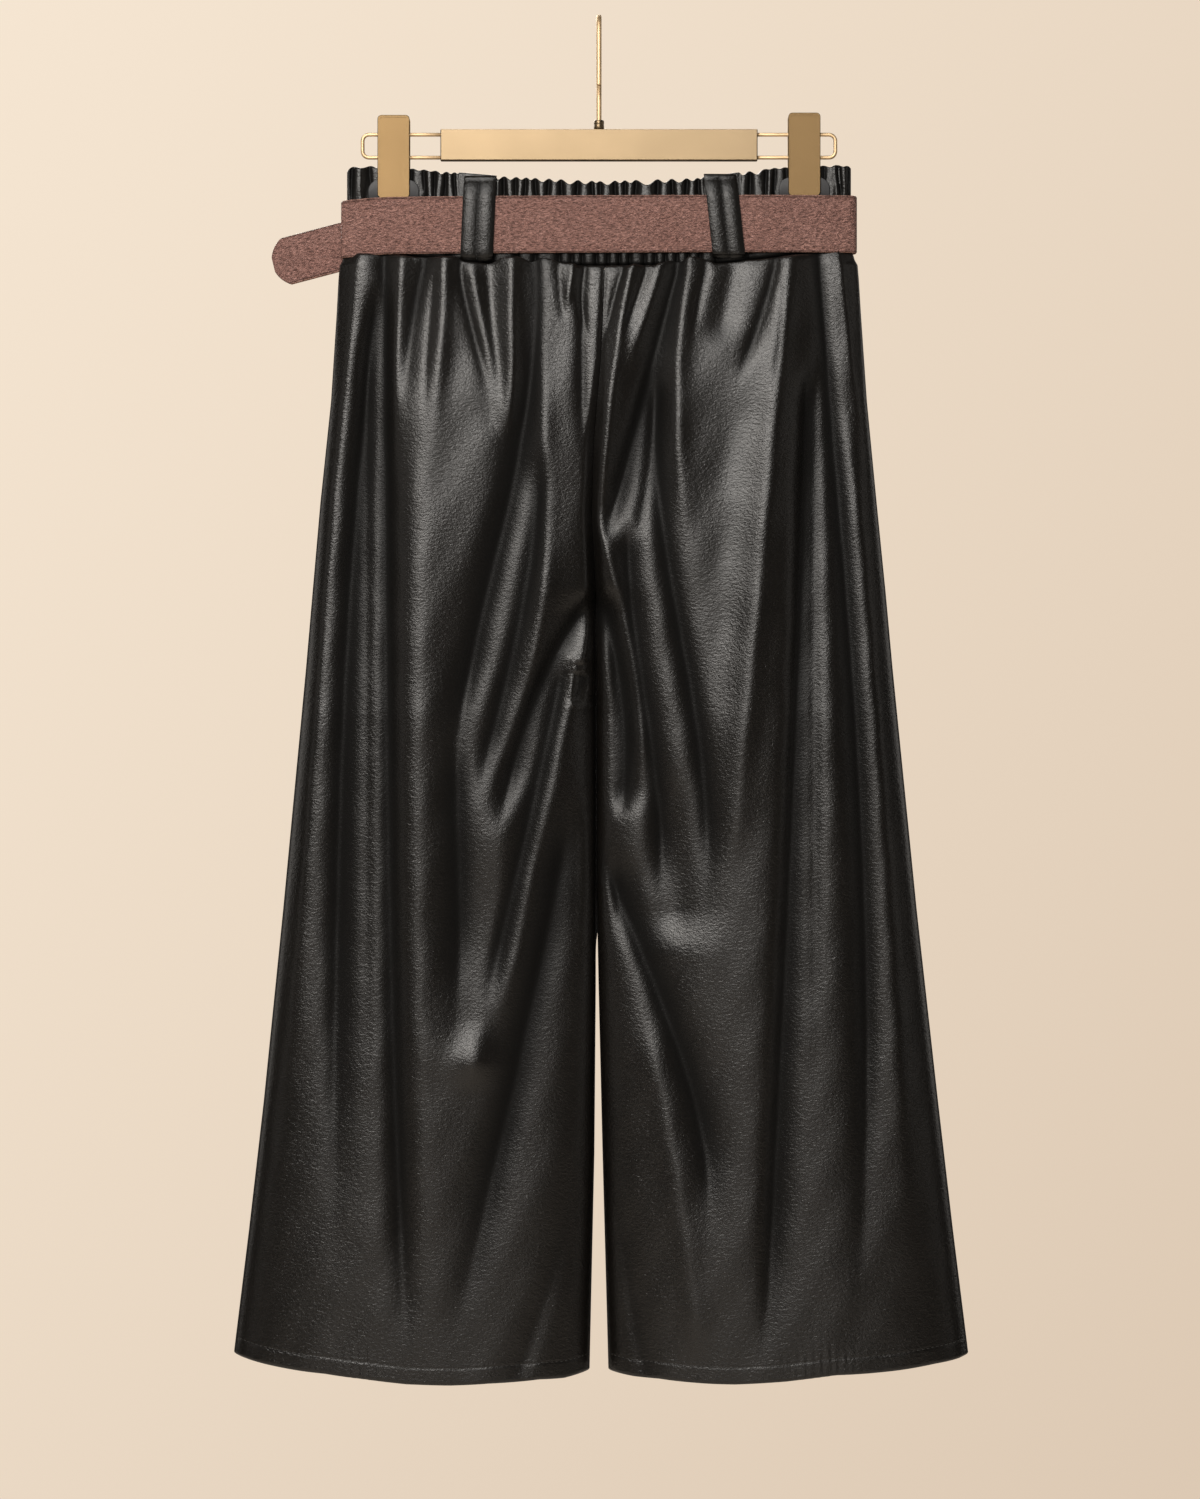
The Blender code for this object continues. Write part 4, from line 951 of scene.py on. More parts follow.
def between_pinches(x, pinches):
    """How far along from one pinch to the next, 0 to 1, and how wide that puff is."""
    i = np.clip(np.searchsorted(pinches, x) - 1, 0, len(pinches) - 2)
    width = pinches[i + 1] - pinches[i]
    return (x - pinches[i]) / width, width


def near_clip(x, reach=0.0205):
    """1 where a clip holds the waistband flat, 0 well away from both clips."""
    return fade(np.abs(np.abs(x) - CLIP_X), reach, 0.006)


def near_loop(x):
    """1 where a belt loop is sewn on."""
    return fade(np.abs(np.abs(x) - LOOP_X), 0.0135, 0.003)


def band_base(x, level):
    """The ungathered casing, out from the middle plane: level is 0 at its top and 1 at its foot."""
    head = read(BAND_TOP, "half_depth", x, by="x")
    return head + (band_foot(x) - head) * ramp(level, 0.42 * near_clip(x), 0.40)


def band_gathers(x, level):
    """Each puff's swell, out, its rim's dip, down, and its painted shade: a little everywhere, more in
    each pinch, and a painted shadow along the foot under the belt. A puff is arch = sin(pi t)^0.8 between
    two pinches, and a pinch is the narrow trough (1 - sin(pi t))^1.8."""
    lean = BAND_LEAN * np.sin(x * 290.0) * smooth(level / 0.4)
    t, width = between_pinches(x + lean, PINCHES)
    arch = np.sin(math.pi * t)
    size = np.clip(width / 0.012, 0.5, 1.3)
    loop, clip = near_loop(x), near_clip(x)
    puff = 0.0016 * size * arch ** 0.8 * (1.0 - loop) * (1.0 - 0.93 * clip)
    pinch = 0.0038 * (1.0 - arch) ** 1.8 * (1.0 - loop) * (1.0 - 0.45 * clip)
    dip = 0.0036 * size * arch ** 1.6 * (1.0 - loop) * (1.0 - 0.5 * near_clip(x, 0.030))

    foot = ramp(level, 0.80, 0.08)
    low_t, low_width = between_pinches(x, FOOT_PINCHES)
    low_arch = np.sin(math.pi * low_t)
    low_size = np.clip(0.016 / low_width, 0.2, 1.0)
    low_puff = (0.0007 * low_arch - 0.0026 * (1.0 - low_arch) ** 2.5) * low_size
    swell = (puff - pinch) * fade(level, 0.14, 0.36) + low_puff * foot

    # Painted shade in the pinches along the top, and in the foot's pinches.
    closed = (1.0 - arch) * (1.0 - 0.8 * loop) * fade(level, 0.3, 0.3)
    closed = np.maximum(closed, (1.0 - low_arch) * foot)
    # Painted shade: a little over the whole casing, and a painted shadow along its foot under the belt.
    band_shade = 0.08 + 0.62 * ramp(level, 0.75, 0.10)
    return swell, dip, band_shade + (1.0 - band_shade) * np.clip(1.3 * closed, 0.0, 1.0)


def waistband(face):
    """A casing as one closed surface. Rows go up the inside, over the top and down the outside."""
    y_sign = FACES[face]
    u = np.linspace(-1.0, 1.0, 461)
    columns = BAND_HALF_WIDTH * (0.94 * u + 0.06 * np.sin(0.5 * math.pi * u))
    around = np.radians(np.linspace(180.0, 0.0, 9))
    levels = np.concatenate([np.linspace(1.0, 0.05, 7), np.zeros(9), np.linspace(0.02, 1.0, 22)])
    inner = np.concatenate([np.ones(7), 0.5 - 0.5 * np.cos(around), np.zeros(22)])
    over = np.concatenate([np.zeros(7), np.sin(around), np.zeros(22)])
    x, level = np.meshgrid(columns, levels)
    inner = np.broadcast_to(inner[:, None], x.shape)
    over = np.broadcast_to(over[:, None], x.shape)

    swell, dip, closed = band_gathers(x, level)
    top = read(BAND_TOP, "drop", x, by="x") - 0.0006 + dip + BAND_RIM
    drop = top + (seam_drop(x) - GAP - top) * level - BAND_RIM * over
    outer = band_base(x, level) + swell * (1.0 - 0.5 * inner)
    behind_belt = np.abs(drop - belt_drop(x)) < BELT_WIDTH / 2 + 0.0010
    room = band_foot(x) + BELT_OFF["back"] - BELT_WALL / 2 - GAP
    outer = np.where(behind_belt, np.minimum(outer, room), outer)
    corner = np.clip((np.abs(x) - (BAND_HALF_WIDTH - 0.0040)) / 0.0040, 0.0, 1.0)
    outer = HALF_GAP + (outer - HALF_GAP) * np.sqrt(1.0 - corner ** 2)
    stand_off = np.maximum(outer - BAND_WALL * inner, HALF_GAP)
    x = x * (1.0 - inner * BAND_WALL / BAND_HALF_WIDTH)

    points, closed = turned(y_sign, np.stack([x, y_sign * stand_off, -drop], axis=-1), closed)
    rows, count = points.shape[:2]
    left_end = np.arange(rows) * count
    mesh = new_mesh("cloth_waistband_" + face, points, grid_quads(rows, count, along=True),
                    caps=[left_end[::-1], left_end + count - 1])
    mark_painted_shade(mesh, closed)
    return place(mesh, [FAUX_LEATHER], ["waistband_" + face])


BANDS = {face: waistband(face) for face in FACES}
print("waistband:", len(PINCHES) - 1, "puffs along its top")

# %% [markdown]
# ## The belt
# One strap of leather runs from its folded end, round the waist, through the buckle and on to a rounded
# tail. It is a profile carried along a path: a thin rectangle with round edges, and a line pressed in
# near each edge. Its length map holds real metres along and across, which keeps the grain even in turns.

# %% Belt strap
BUCKLE_WIRE = 0.0040
BUCKLE_HEEL_X = -0.0160
BUCKLE_TOE_X = 0.0245
BUCKLE_WRAP = BUCKLE_WIRE / 2 + BELT_WALL / 2 + 0.0008
BELT_LAYER = BELT_WALL + GAP
BELT_TURN_X = 0.1880
BELT_END_X = 0.2010
BELT_TURN_POWER = 0.65
TAIL_SAG_X = -0.1040
TAIL_STRAIGHT_X = -0.2020
TAIL_SLOPE = 0.264
TAIL_LEAVE = 0.0022
TAIL_TWIST = math.radians(28)
TIP_RADIUS = 0.0280
SECOND_OFF = BELT_OFF["front"] + BELT_LAYER
THIRD_OFF = SECOND_OFF + BELT_LAYER
OVER_OFF = BELT_OFF["front"] + 2 * BUCKLE_WRAP
HEEL_OFF = BELT_OFF["front"] + BUCKLE_WRAP
TOE_OFF = HEEL_OFF + 0.0007
FRONT_LEFT = table("x off", [
    (BUCKLE_HEEL_X, OVER_OFF),
    (-0.0220, OVER_OFF - 0.0004),
    (-0.0320, SECOND_OFF + 0.0023),
    (-0.0420, SECOND_OFF + 0.0003),
    (-0.0540, SECOND_OFF),
    (-0.0660, BELT_OFF["front"]),
    (-0.0800, BELT_OFF["front"]),
    (-0.1100, BELT_OFF["front"]),
    (-0.1500, BELT_OFF["front"]),
    (-BELT_TURN_X, BELT_OFF["front"]),
])
FRONT_RIGHT = table("x off", [
    (BELT_TURN_X, BELT_OFF["front"]),
    (0.1500, BELT_OFF["front"]),
    (0.1100, BELT_OFF["front"]),
    (0.0750, BELT_OFF["front"]),
    (0.0450, BELT_OFF["front"]),
    (0.0300, BELT_OFF["front"] + 0.0001),
    (0.0220, BELT_OFF["front"] + 0.0004),
    (0.0140, HEEL_OFF - 0.0037),
    (0.0085, HEEL_OFF - 0.0014),
])
TAIL_FROM_HOLE = table("x off", [
    (-0.0005, HEEL_OFF + 0.0050),
    (-0.0060, HEEL_OFF + 0.0069),
    (BUCKLE_HEEL_X, OVER_OFF + BELT_LAYER),
    (-0.0240, OVER_OFF + BELT_LAYER - 0.0003),
    (-0.0340, THIRD_OFF + 0.0018),
    (-0.0420, THIRD_OFF + 0.0003),
    (-0.0540, THIRD_OFF),
    (-0.0660, SECOND_OFF),
    (-0.0800, SECOND_OFF),
    (-0.0960, SECOND_OFF),
    (-0.1120, SECOND_OFF),
])
TAIL_X = MM * np.array([-130, -150, -170, -188, -204, -220, -234, -246, -251, -255, -257.2])


def belt_run(y_sign, x, off):
    """Stations of the belt's middle line on one side, standing off the waistband."""
    return np.stack([x, y_sign * (band_foot(x) + off), -belt_drop(x)], axis=-1)


def belt_turn(x_sign, y_from, y_to):
    """Half a squarish ellipse round the waistband's side."""
    angle = np.linspace(0.0, math.pi, 17)[1:-1]
    x = x_sign * (BELT_TURN_X + (BELT_END_X - BELT_TURN_X) * np.sin(angle) ** BELT_TURN_POWER)
    beside = np.sign(np.cos(angle)) * np.abs(np.cos(angle)) ** BELT_TURN_POWER
    y = (y_from + y_to) / 2 + (y_from - y_to) / 2 * beside
    return np.stack([x, y, -belt_drop(x)], axis=-1)


def belt_tail(y_start, x_start, x):
    """The free end, past the front left loop: it droops as a parabola, then runs on straight."""
    reach = TAIL_SAG_X - TAIL_STRAIGHT_X
    t = (TAIL_SAG_X - x) / reach
    sink = TAIL_SLOPE * reach * np.where(t < 1.0, 0.5 * t ** 2, t - 0.5)
    y = y_start + TAIL_LEAVE * smooth((x_start - x) / 0.090)
    return np.stack([x, y, -belt_drop(TAIL_SAG_X) - sink], axis=-1)


def belt_path():
    """The strap's middle line, from its folded end to its tip."""
    folded = belt_run(1, np.array([-0.0520, -0.0400, -0.0300, -0.0220, BUCKLE_HEEL_X]), BELT_OFF["front"])
    heel = folded[-1]
    angle = np.radians([30, 60, 90, 120, 150])
    round_heel = heel + np.stack([BUCKLE_WRAP * np.sin(angle), BUCKLE_WRAP * (1.0 - np.cos(angle)),
                                  np.zeros(5)], axis=-1)
    front_left = belt_run(1, FRONT_LEFT["x"], FRONT_LEFT["off"])
    back = belt_run(-1, np.linspace(-BELT_TURN_X, BELT_TURN_X, 33), BELT_OFF["back"])
    front_right = belt_run(1, FRONT_RIGHT["x"], FRONT_RIGHT["off"])
    over = belt_run(1, TAIL_FROM_HOLE["x"], TAIL_FROM_HOLE["off"])
    left_turn = belt_turn(-1, front_left[-1, 1], back[0, 1])
    right_turn = belt_turn(1, back[-1, 1], front_right[0, 1])
    tail = belt_tail(over[-1, 1], over[-1, 0], TAIL_X)
    return np.concatenate([folded, round_heel, front_left, left_turn, back, right_turn, front_right,
                           over, tail])


def strap_profile(half, wall):
    """A strap's section as (across, out) rings, going round: flat faces with a pressed line near each
    edge, and half-round edges. Half is one width per station."""
    half = half[:, None]
    turn = np.radians(np.linspace(-90.0, 90.0, 7))
    edge_in = np.array([0.9, 1.0, 1.15, 1.35, 1.55, 1.8]) * MM
    press = np.array([0.0, 0.10, 0.26, 0.26, 0.08, 0.0]) * MM
    inner = np.array([0.70, 0.35, 0.0, -0.35, -0.70])
    ease = np.minimum(half / 0.004, 1.0)
    near_edge = half - wall / 2 - edge_in * ease
    face_across = np.concatenate([near_edge, inner * (half - 0.004 * ease), -near_edge[:, ::-1]], axis=1)
    face_out = wall / 2 - np.concatenate([press, np.zeros(5), press[::-1]])
    face_out = np.broadcast_to(face_out, face_across.shape)
    edge_across = half - wall / 2 + wall / 2 * np.cos(turn)
    edge_out = np.broadcast_to(wall / 2 * np.sin(turn), edge_across.shape)
    return (np.concatenate([edge_across, face_across, -edge_across, -face_across], axis=1),
            np.concatenate([edge_out, face_out, -edge_out, -face_out], axis=1))


def belt_strap():
    """The profile carried along the path. In the tail it twists, and its width ends in a round tip."""
    path = soft_path(belt_path(), 900)
    along = unit(np.gradient(path, axis=0))
    up = unit(np.array([0.0, 0.0, 1.0]) - along * along[:, 2:])
    outward = np.cross(along, up)
    length = lengths(path)
    in_tail = length > length[-1] - 0.150
    twist = np.where(in_tail, TAIL_TWIST * smooth((-0.115 - path[:, 0]) / 0.085), 0.0)[:, None]
    up, outward = (up * np.cos(twist) + outward * np.sin(twist),
                   outward * np.cos(twist) - up * np.sin(twist))
    short_of_round = np.clip(TIP_RADIUS - (length[-1] + 0.0008 - length), 0.0, None)
    half_round = np.sqrt(np.clip(TIP_RADIUS ** 2 - short_of_round ** 2, 1e-6, None))
    half = np.minimum(BELT_WIDTH / 2, half_round)
    across, out = strap_profile(half, BELT_WALL)
    points = path[:, None] + across[..., None] * up[:, None] + out[..., None] * outward[:, None]
    uv = np.stack([np.broadcast_to(length[:, None], across.shape), across], axis=-1)
    mesh = new_mesh("leather_belt_strap", points, grid_quads(*across.shape, around=True),
                    caps=end_rings(*across.shape), uv=uv)
    print("belt strap, mm long:", round(float(length[-1]) / MM))
    return place(mesh, [BELT_LEATHER], ["belt_strap"])


STRAP = belt_strap()

# %% [markdown]
# ## The belt loops
# A loop is a strip of the same faux leather with both edges turned under. It is sewn flat at the waist's
# top, where its folded end makes a small bar, bends out over the belt, and goes in again under it. Its
# length is a path down the waistband, and its width is a low profile: rolled edges and a stitched groove.

# %% Belt loops
LOOP_WIDTH = 0.0255
LOOP_WALL = 0.0013           # its outside, off the waistband
LOOP_CLOTH = 0.0010
LOOP_OFF = 0.0006
LOOP_DULL = 0.28             # share of the dark matt shader over the whole loop, so it is duller and darker than the legs
LOOP_BAR = 0.0032            # height of the folded end
LOOP_STITCH_DOWN = LOOP_BAR + 0.0022      # the upper stitch line, below the loop's top
LOOP_GROOVE = 0.10           # the middle groove's reach, as a share of half the width
LOOPS = {                    # face, x at the top and foot, drop of the top and foot, the belt's stand-off
    "belt_loop_back_left": ("back", -0.0928, -0.0958, 0.1236, 0.1903, BELT_OFF["back"]),
    "belt_loop_back_right": ("back", 0.0947, 0.1017, 0.1222, 0.1876, BELT_OFF["back"]),
    "belt_loop_front_left": ("front", -0.0980, -0.0980, 0.1240, 0.1895, SECOND_OFF),
    "belt_loop_front_right": ("front", 0.0980, 0.0980, 0.1228, 0.1880, BELT_OFF["front"]),
}


def loop_surface(face, top_x, foot_x, top, foot, belt_off):
    """Points of a loop's outside, rows from top to foot, and how much of the dark matt shader it takes: a
    share everywhere, and painted shade in its middle groove. Its distance from the waistband follows a
    soft path over the belt. Across it, each half is a low arch, both edges curve in, and a groove of half
    a millimetre runs down the middle."""
    belt = belt_drop(top_x)
    over = belt_off + BELT_WALL / 2 + GAP
    belt_top, belt_low = belt - BELT_WIDTH / 2, belt + BELT_WIDTH / 2
    side = soft_path([(top, LOOP_OFF, 0), (belt_top - 0.0012, over, 1),
                      (belt_top + 0.010, over + 0.0006, 1), (belt, over + 0.0009, 1),
                      (belt_low - 0.010, over + 0.0006, 1), (belt_low + 0.0004, over, 1),
                      (foot - 0.0016, LOOP_OFF + 0.35 * over, 1), (foot, LOOP_OFF, 1)], 90)
    across, drop = np.meshgrid(np.sin(np.linspace(-0.5, 0.5, 23) * math.pi), side[:, 0])
    x = top_x + (foot_x - top_x) * (drop - top) / (foot - top) + across * (LOOP_WIDTH / 2)
    level = (drop - read(BAND_TOP, "drop", x, by="x")) / BAND_HEIGHT
    on_belt = np.clip(side[:, 2:], 0.0, 1.0)
    under = band_base(x, level) * (1.0 - on_belt) + band_foot(x) * on_belt

    past_bar = ramp(drop, top + LOOP_BAR, 0.0012)
    round_bar = 1.0 - ((drop - top) / LOOP_BAR * 2.0 - 1.0) ** 2
    bar = 0.0009 * (1.0 - past_bar) * np.sqrt(np.clip(round_bar, 0.0, 1.0))
    seam = 0.0002 * np.exp(-((drop - top - LOOP_STITCH_DOWN) / 0.0007) ** 2)
    groove = past_bar * np.exp(-(across / LOOP_GROOVE) ** 2)
    bulge = 0.0006 * past_bar * np.sin(math.pi * np.clip(np.abs(across), 0.0, 1.0)) ** 1.5
    profile = LOOP_WALL - 0.0009 * np.abs(across) ** 7 + bulge - 0.0005 * groove
    sag = 0.0012 * (1.0 - across ** 2) * ramp(drop, belt_low, 0.004)
    outside = under + side[:, 1:2] + profile + bar - seam
    # The dark matt shader: LOOP_DULL over the whole loop, and painted shade up to full in the middle
    # groove.
    return (np.stack([x, FACES[face] * outside, -drop - sag], axis=-1),
            LOOP_DULL + (1.0 - LOOP_DULL) * groove)


def belt_loop(name, face, *sizes):
    """One loop as a piece."""
    points, closed = turned(FACES[face], *loop_surface(face, *sizes))
    mesh = new_mesh("cloth_" + name, points, grid_quads(*points.shape[:2]))
    mark_painted_shade(mesh, closed)
    return wall(place(mesh, [FAUX_LEATHER], [name]), LOOP_CLOTH)


LOOP_PIECES = {loop_name: belt_loop(loop_name, *loop_sizes) for loop_name, loop_sizes in LOOPS.items()}
print("loops:", len(LOOPS))

# %% [markdown]
# ## Stitches
# A machine stitch is a short thread that dips into the cloth at both ends. One stitch has only a few
# dozen faces: rings along it whose radius swells and closes. All the stitches of a line are worked out
# together, from points along the line and the direction that faces out, and become one mesh.

# %% Stitches
STITCH_RADIUS = 0.00027
STITCH_SHARE = 0.66          # a stitch's length, as a share of the pitch
STITCH_SINK = 0.00006
STITCH_RINGS, STITCH_SIDES = 7, 6


def even_points(line, pitch):
    """Points a pitch apart along a line, and the line's direction at each."""
    length = lengths(line)
    at = np.arange(pitch * 0.7, length[-1] - pitch * 0.5, pitch)
    ahead = np.stack([np.interp(at + pitch * 0.2, length, line[:, i]) for i in range(3)], axis=-1)
    behind = np.stack([np.interp(at - pitch * 0.2, length, line[:, i]) for i in range(3)], axis=-1)
    return (ahead + behind) / 2, unit(ahead - behind)


def stitch_line(name, lines, outward, pitch=0.0040):
    """Threads along lines. Each is seven rings of six points: the radius is sin(t)^0.6 of the way
    along, and the ends dip by a little under a thread's radius."""
    middles, alongs = zip(*(even_points(np.asarray(line), pitch) for line in lines))
    middle, along = np.concatenate(middles), np.concatenate(alongs)
    side = unit(np.cross(along, outward))
    out = np.cross(side, along)
    t = np.linspace(0.0, math.pi, STITCH_RINGS)
    angle = np.linspace(0.0, 2.0 * math.pi, STITCH_SIDES + 1)[:-1]
    radius = STITCH_RADIUS * np.maximum(np.sin(t), 0.02) ** 0.6
    reach = -np.cos(t) * pitch * STITCH_SHARE / 2
    lift = -STITCH_SINK - 0.8 * STITCH_RADIUS * (1.0 - np.sin(t))
    n = np.newaxis
    points = (middle[:, n, n] + reach[n, :, n, n] * along[:, n, n] + lift[n, :, n, n] * out[:, n, n]
              + radius[n, :, n, n] * (np.cos(angle)[n, n, :, n] * side[:, n, n]
                                      + np.sin(angle)[n, n, :, n] * out[:, n, n]))
    first = STITCH_RINGS * STITCH_SIDES * np.arange(len(points))[:, n]
    quads = (grid_quads(STITCH_RINGS, STITCH_SIDES, around=True) + first[..., n]).reshape(-1, 4)
    starts, stops = (first + ring for ring in end_rings(STITCH_RINGS, STITCH_SIDES))
    mesh = new_mesh(name, points, quads, caps=[*starts, *stops])
    print(name + ":", len(points), "stitches")
    return place(mesh, [BLACK_THREAD])


def hem_line(face, side):
    """The hem's stitch line on a panel's outside, from one lip to the other."""
    points, up, _ = leg_surface(face, side)
    row = int(np.argmin(np.abs(up[:, 0] - HEM_STITCH_UP)))
    return points[row, 3:-3] + np.array([0.0, FACES[face] * 0.0002, 0.0])


for hem_face, sign in FACES.items():
    stitch_line("hem_stitches_" + hem_face, [hem_line(hem_face, side) for side in SIDES],
                np.array([0.0, sign, 0.0]))

for loop_name, loop_sizes in LOOPS.items():
    face_sign = FACES[loop_sizes[0]]
    surface, _ = loop_surface(*loop_sizes)
    lift_out = np.array([0.0, face_sign * 0.00012, 0.0])
    centre = surface[12:, surface.shape[1] // 2] + lift_out
    row = int(np.argmin(np.abs(surface[:, 0, 2] + loop_sizes[3] + LOOP_STITCH_DOWN)))
    stitch_line("stitches_" + loop_name, [centre, surface[row, 2:-2] + lift_out],
                np.array([0.0, face_sign, 0.0]), pitch=0.0031)

# %% [markdown]
# ## Wires, springs and the buckle
# Anything bent from round wire is a circle carried along a smooth path. The path lies in one plane, so
# the circle's two directions are that plane's normal and its cross product with the path. A spring is
# the same thing along a helix.

# %% Round wire
HOOK_WIRE = 0.0040
WIRE = 0.0030
WIRE_TOP_DROP = 0.0903
WIRE_LOW_DROP = 0.1083
WIRE_END_X = 0.1871
WIRE_BEND = 0.0050
BAR_HALF_LENGTH = 0.1244
BAR_DROP = 0.0864
SOCKET_DEPTH = 0.0140
HOOK = [(-0.0230, 0.0557), (-0.0220, 0.0400), (-0.0203, 0.0185), (-0.0143, 0.0042), (0.0, -HOOK_WIRE / 2),
        (0.0143, 0.0042), (0.0203, 0.0185), (0.0180, 0.0340), (0.0085, 0.0490), (0.0012, 0.0600),
        (0.0, 0.0700), (0.0, 0.0860)]                     # y and drop


def tube_rings(path, radius, normal, closed, sides):
    """Rings round a path. At each point the circle spans the normal and its cross product with the
    path's direction."""
    if closed:
        along = np.roll(path, -1, axis=0) - np.roll(path, 1, axis=0)
    else:
        along = np.gradient(path, axis=0)
    along = unit(along)
    side = unit(np.cross(along, np.asarray(normal, dtype=float)))[:, None]
    up = np.cross(side[:, 0], along)[:, None]
    angle = np.linspace(0.0, 2.0 * math.pi, sides + 1)[:-1, None]
    return path[:, None] + radius[:, None, None] * (np.cos(angle) * side + np.sin(angle) * up)


def wire(name, path, radius, normal, replaces, closed=False, sides=20, rounding=0.0):
    """A wire along a path, its ends rounded off over a length."""
    path = np.asarray(path, dtype=float)
    sizes = np.full(len(path), radius)
    if rounding:
        length = lengths(path)
        near = np.clip(np.minimum(length, length[-1] - length) / rounding, 0.0, 1.0)
        sizes = radius * np.sqrt(np.maximum(1.0 - (1.0 - near) ** 2, 0.01))
    quads = grid_quads(len(path), sides, around=True, along=closed)
    caps = () if closed else end_rings(len(path), sides)
    mesh = new_mesh(name, tube_rings(path, sizes, normal, closed, sides), quads, caps)
    return place(mesh, [WIRE_GOLD], replaces)


def rounded_ring(width, height, corner, steps=8):
    """Points round a rectangle with round corners, anticlockwise from its lower right."""
    quarter = np.radians(90.0 * np.arange(4))[:, None]
    angle = quarter + np.radians(np.linspace(-90.0, 0.0, steps + 1))
    sx = np.array([1, 1, -1, -1])[:, None] * (width / 2 - corner)
    sy = np.array([-1, 1, 1, -1])[:, None] * (height / 2 - corner)
    return np.stack([sx + corner * np.cos(angle), sy + corner * np.sin(angle)], axis=-1).reshape(-1, 2)


hook_path = soft_path([(0.0, y, -drop) for y, drop in HOOK], 220)
wire("metal_hook", hook_path, HOOK_WIRE / 2, (1, 0, 0), ["hanger_hook"], rounding=0.0015)

u_shape = rounded_ring(2 * WIRE_END_X - WIRE, WIRE_LOW_DROP - WIRE_TOP_DROP, WIRE_BEND)
end = u_shape[:len(u_shape) // 2]
start, stop = (np.array([[BAR_HALF_LENGTH - SOCKET_DEPTH, height]]) for height in (end[0, 1], end[-1, 1]))
straight = np.array([[0.030, 0.0]])
flat = np.concatenate([start, start + straight, end, stop + straight, stop])
for side, sign in SIDES.items():
    bend = np.stack([sign * flat[:, 0], np.zeros(len(flat)),
                     flat[:, 1] - (WIRE_TOP_DROP + WIRE_LOW_DROP) / 2], axis=-1)
    wire("metal_wire_" + side, bend, WIRE / 2, (0, 1, 0), ["hanger_wire_" + side])

# %% [markdown]
# ## The clips' small parts
# A clip's plates are flat stampings, and the frame's solids already are these. Between them a wound
# spring on a pin shuts the jaws, and each jaw has a moulded rubber pad. The collar at the hook's foot is
# turned on a lathe, so it is a profile carried round.

# %% Clip springs, pads and ferrule
DRUM_RADIUS = 0.0057
DRUM_LENGTH = 0.0200
SPRING_WIRE = 0.0016
CLIP_TOP_DROP = {"left": 0.0758, "right": 0.0740}
CLIP_HEIGHT = 0.0650
CLIP_HALF_GRIP = 0.0061
PAD_WIDTH = 0.0400
PAD_WALL = 0.0020
PAD_HEIGHT = 0.0150
PAD_CORNER = 0.0090
FERRULE_RADIUS = 0.0040
FERRULE_DROP = 0.0791


def spring(side):
    """A close-wound spring round a pin: a helix of ten turns about X, and the pin through it."""
    middle = np.array([SIDES[side] * CLIP_X, 0.0, -(WIRE_TOP_DROP + WIRE_LOW_DROP) / 2])
    turns = np.linspace(0.0, 10.0, 241)
    coil = DRUM_RADIUS - SPRING_WIRE / 2
    angle = 2.0 * math.pi * turns
    x = (turns / 10.0 - 0.5) * (DRUM_LENGTH - SPRING_WIRE)
    path = middle + np.stack([x, coil * np.cos(angle), coil * np.sin(angle)], axis=-1)
    wire("metal_spring_" + side, path, SPRING_WIRE / 2, (1, 0, 0), ["clip_drum_" + side], sides=10)
    pin = middle + np.stack([np.linspace(-0.5, 0.5, 9) * DRUM_LENGTH, np.zeros(9), np.zeros(9)], axis=-1)
    wire("metal_pin_" + side, pin, coil - SPRING_WIRE / 2 - 0.0004, (0, 1, 0), (), sides=24,
         rounding=0.0008)


def grip_pad(face, side):
    """A rubber tab with an arched top. Its section is rings that grow over a rounded edge, and its
    back is flat."""
    y_sign = FACES[face]
    arch = rounded_ring(PAD_WIDTH, 2 * PAD_HEIGHT, PAD_CORNER, steps=10)
    arch = arch[arch[:, 1] > 1e-6]
    arch = np.concatenate([[[PAD_WIDTH / 2, 0.0]], arch, [[-PAD_WIDTH / 2, 0.0]]])
    middle = np.array([0.0, PAD_HEIGHT * 0.5])
    edge = 0.0008
    angle = np.radians([0.0, 22.5, 45.0, 67.5, 90.0])
    inset = np.concatenate([[0.0], edge * (1.0 - np.cos(angle))])
    off = np.concatenate([[0.0], PAD_WALL - edge + edge * np.sin(angle)])
    rings = arch[None] - inset[:, None, None] * unit(arch - middle)[None]
    base = -CLIP_TOP_DROP[side] - CLIP_HEIGHT - 0.0004
    inner = CLIP_HALF_GRIP - GAP - PAD_WALL
    points = np.stack([SIDES[side] * CLIP_X + rings[..., 0],
                       np.broadcast_to(y_sign * (inner + off)[:, None], rings.shape[:2]),
                       base + rings[..., 1]], axis=-1)
    points, = turned(y_sign, points)
    quads = grid_quads(*points.shape[:2], around=True)
    first, last = end_rings(*points.shape[:2])
    mesh = new_mesh("rubber_pad_" + face + "_" + side, points, quads[:, ::-1],
                    caps=[first[::-1], last[::-1]])
    place(mesh, [GRIP_RUBBER], ["clip_pad_" + face + "_" + side])


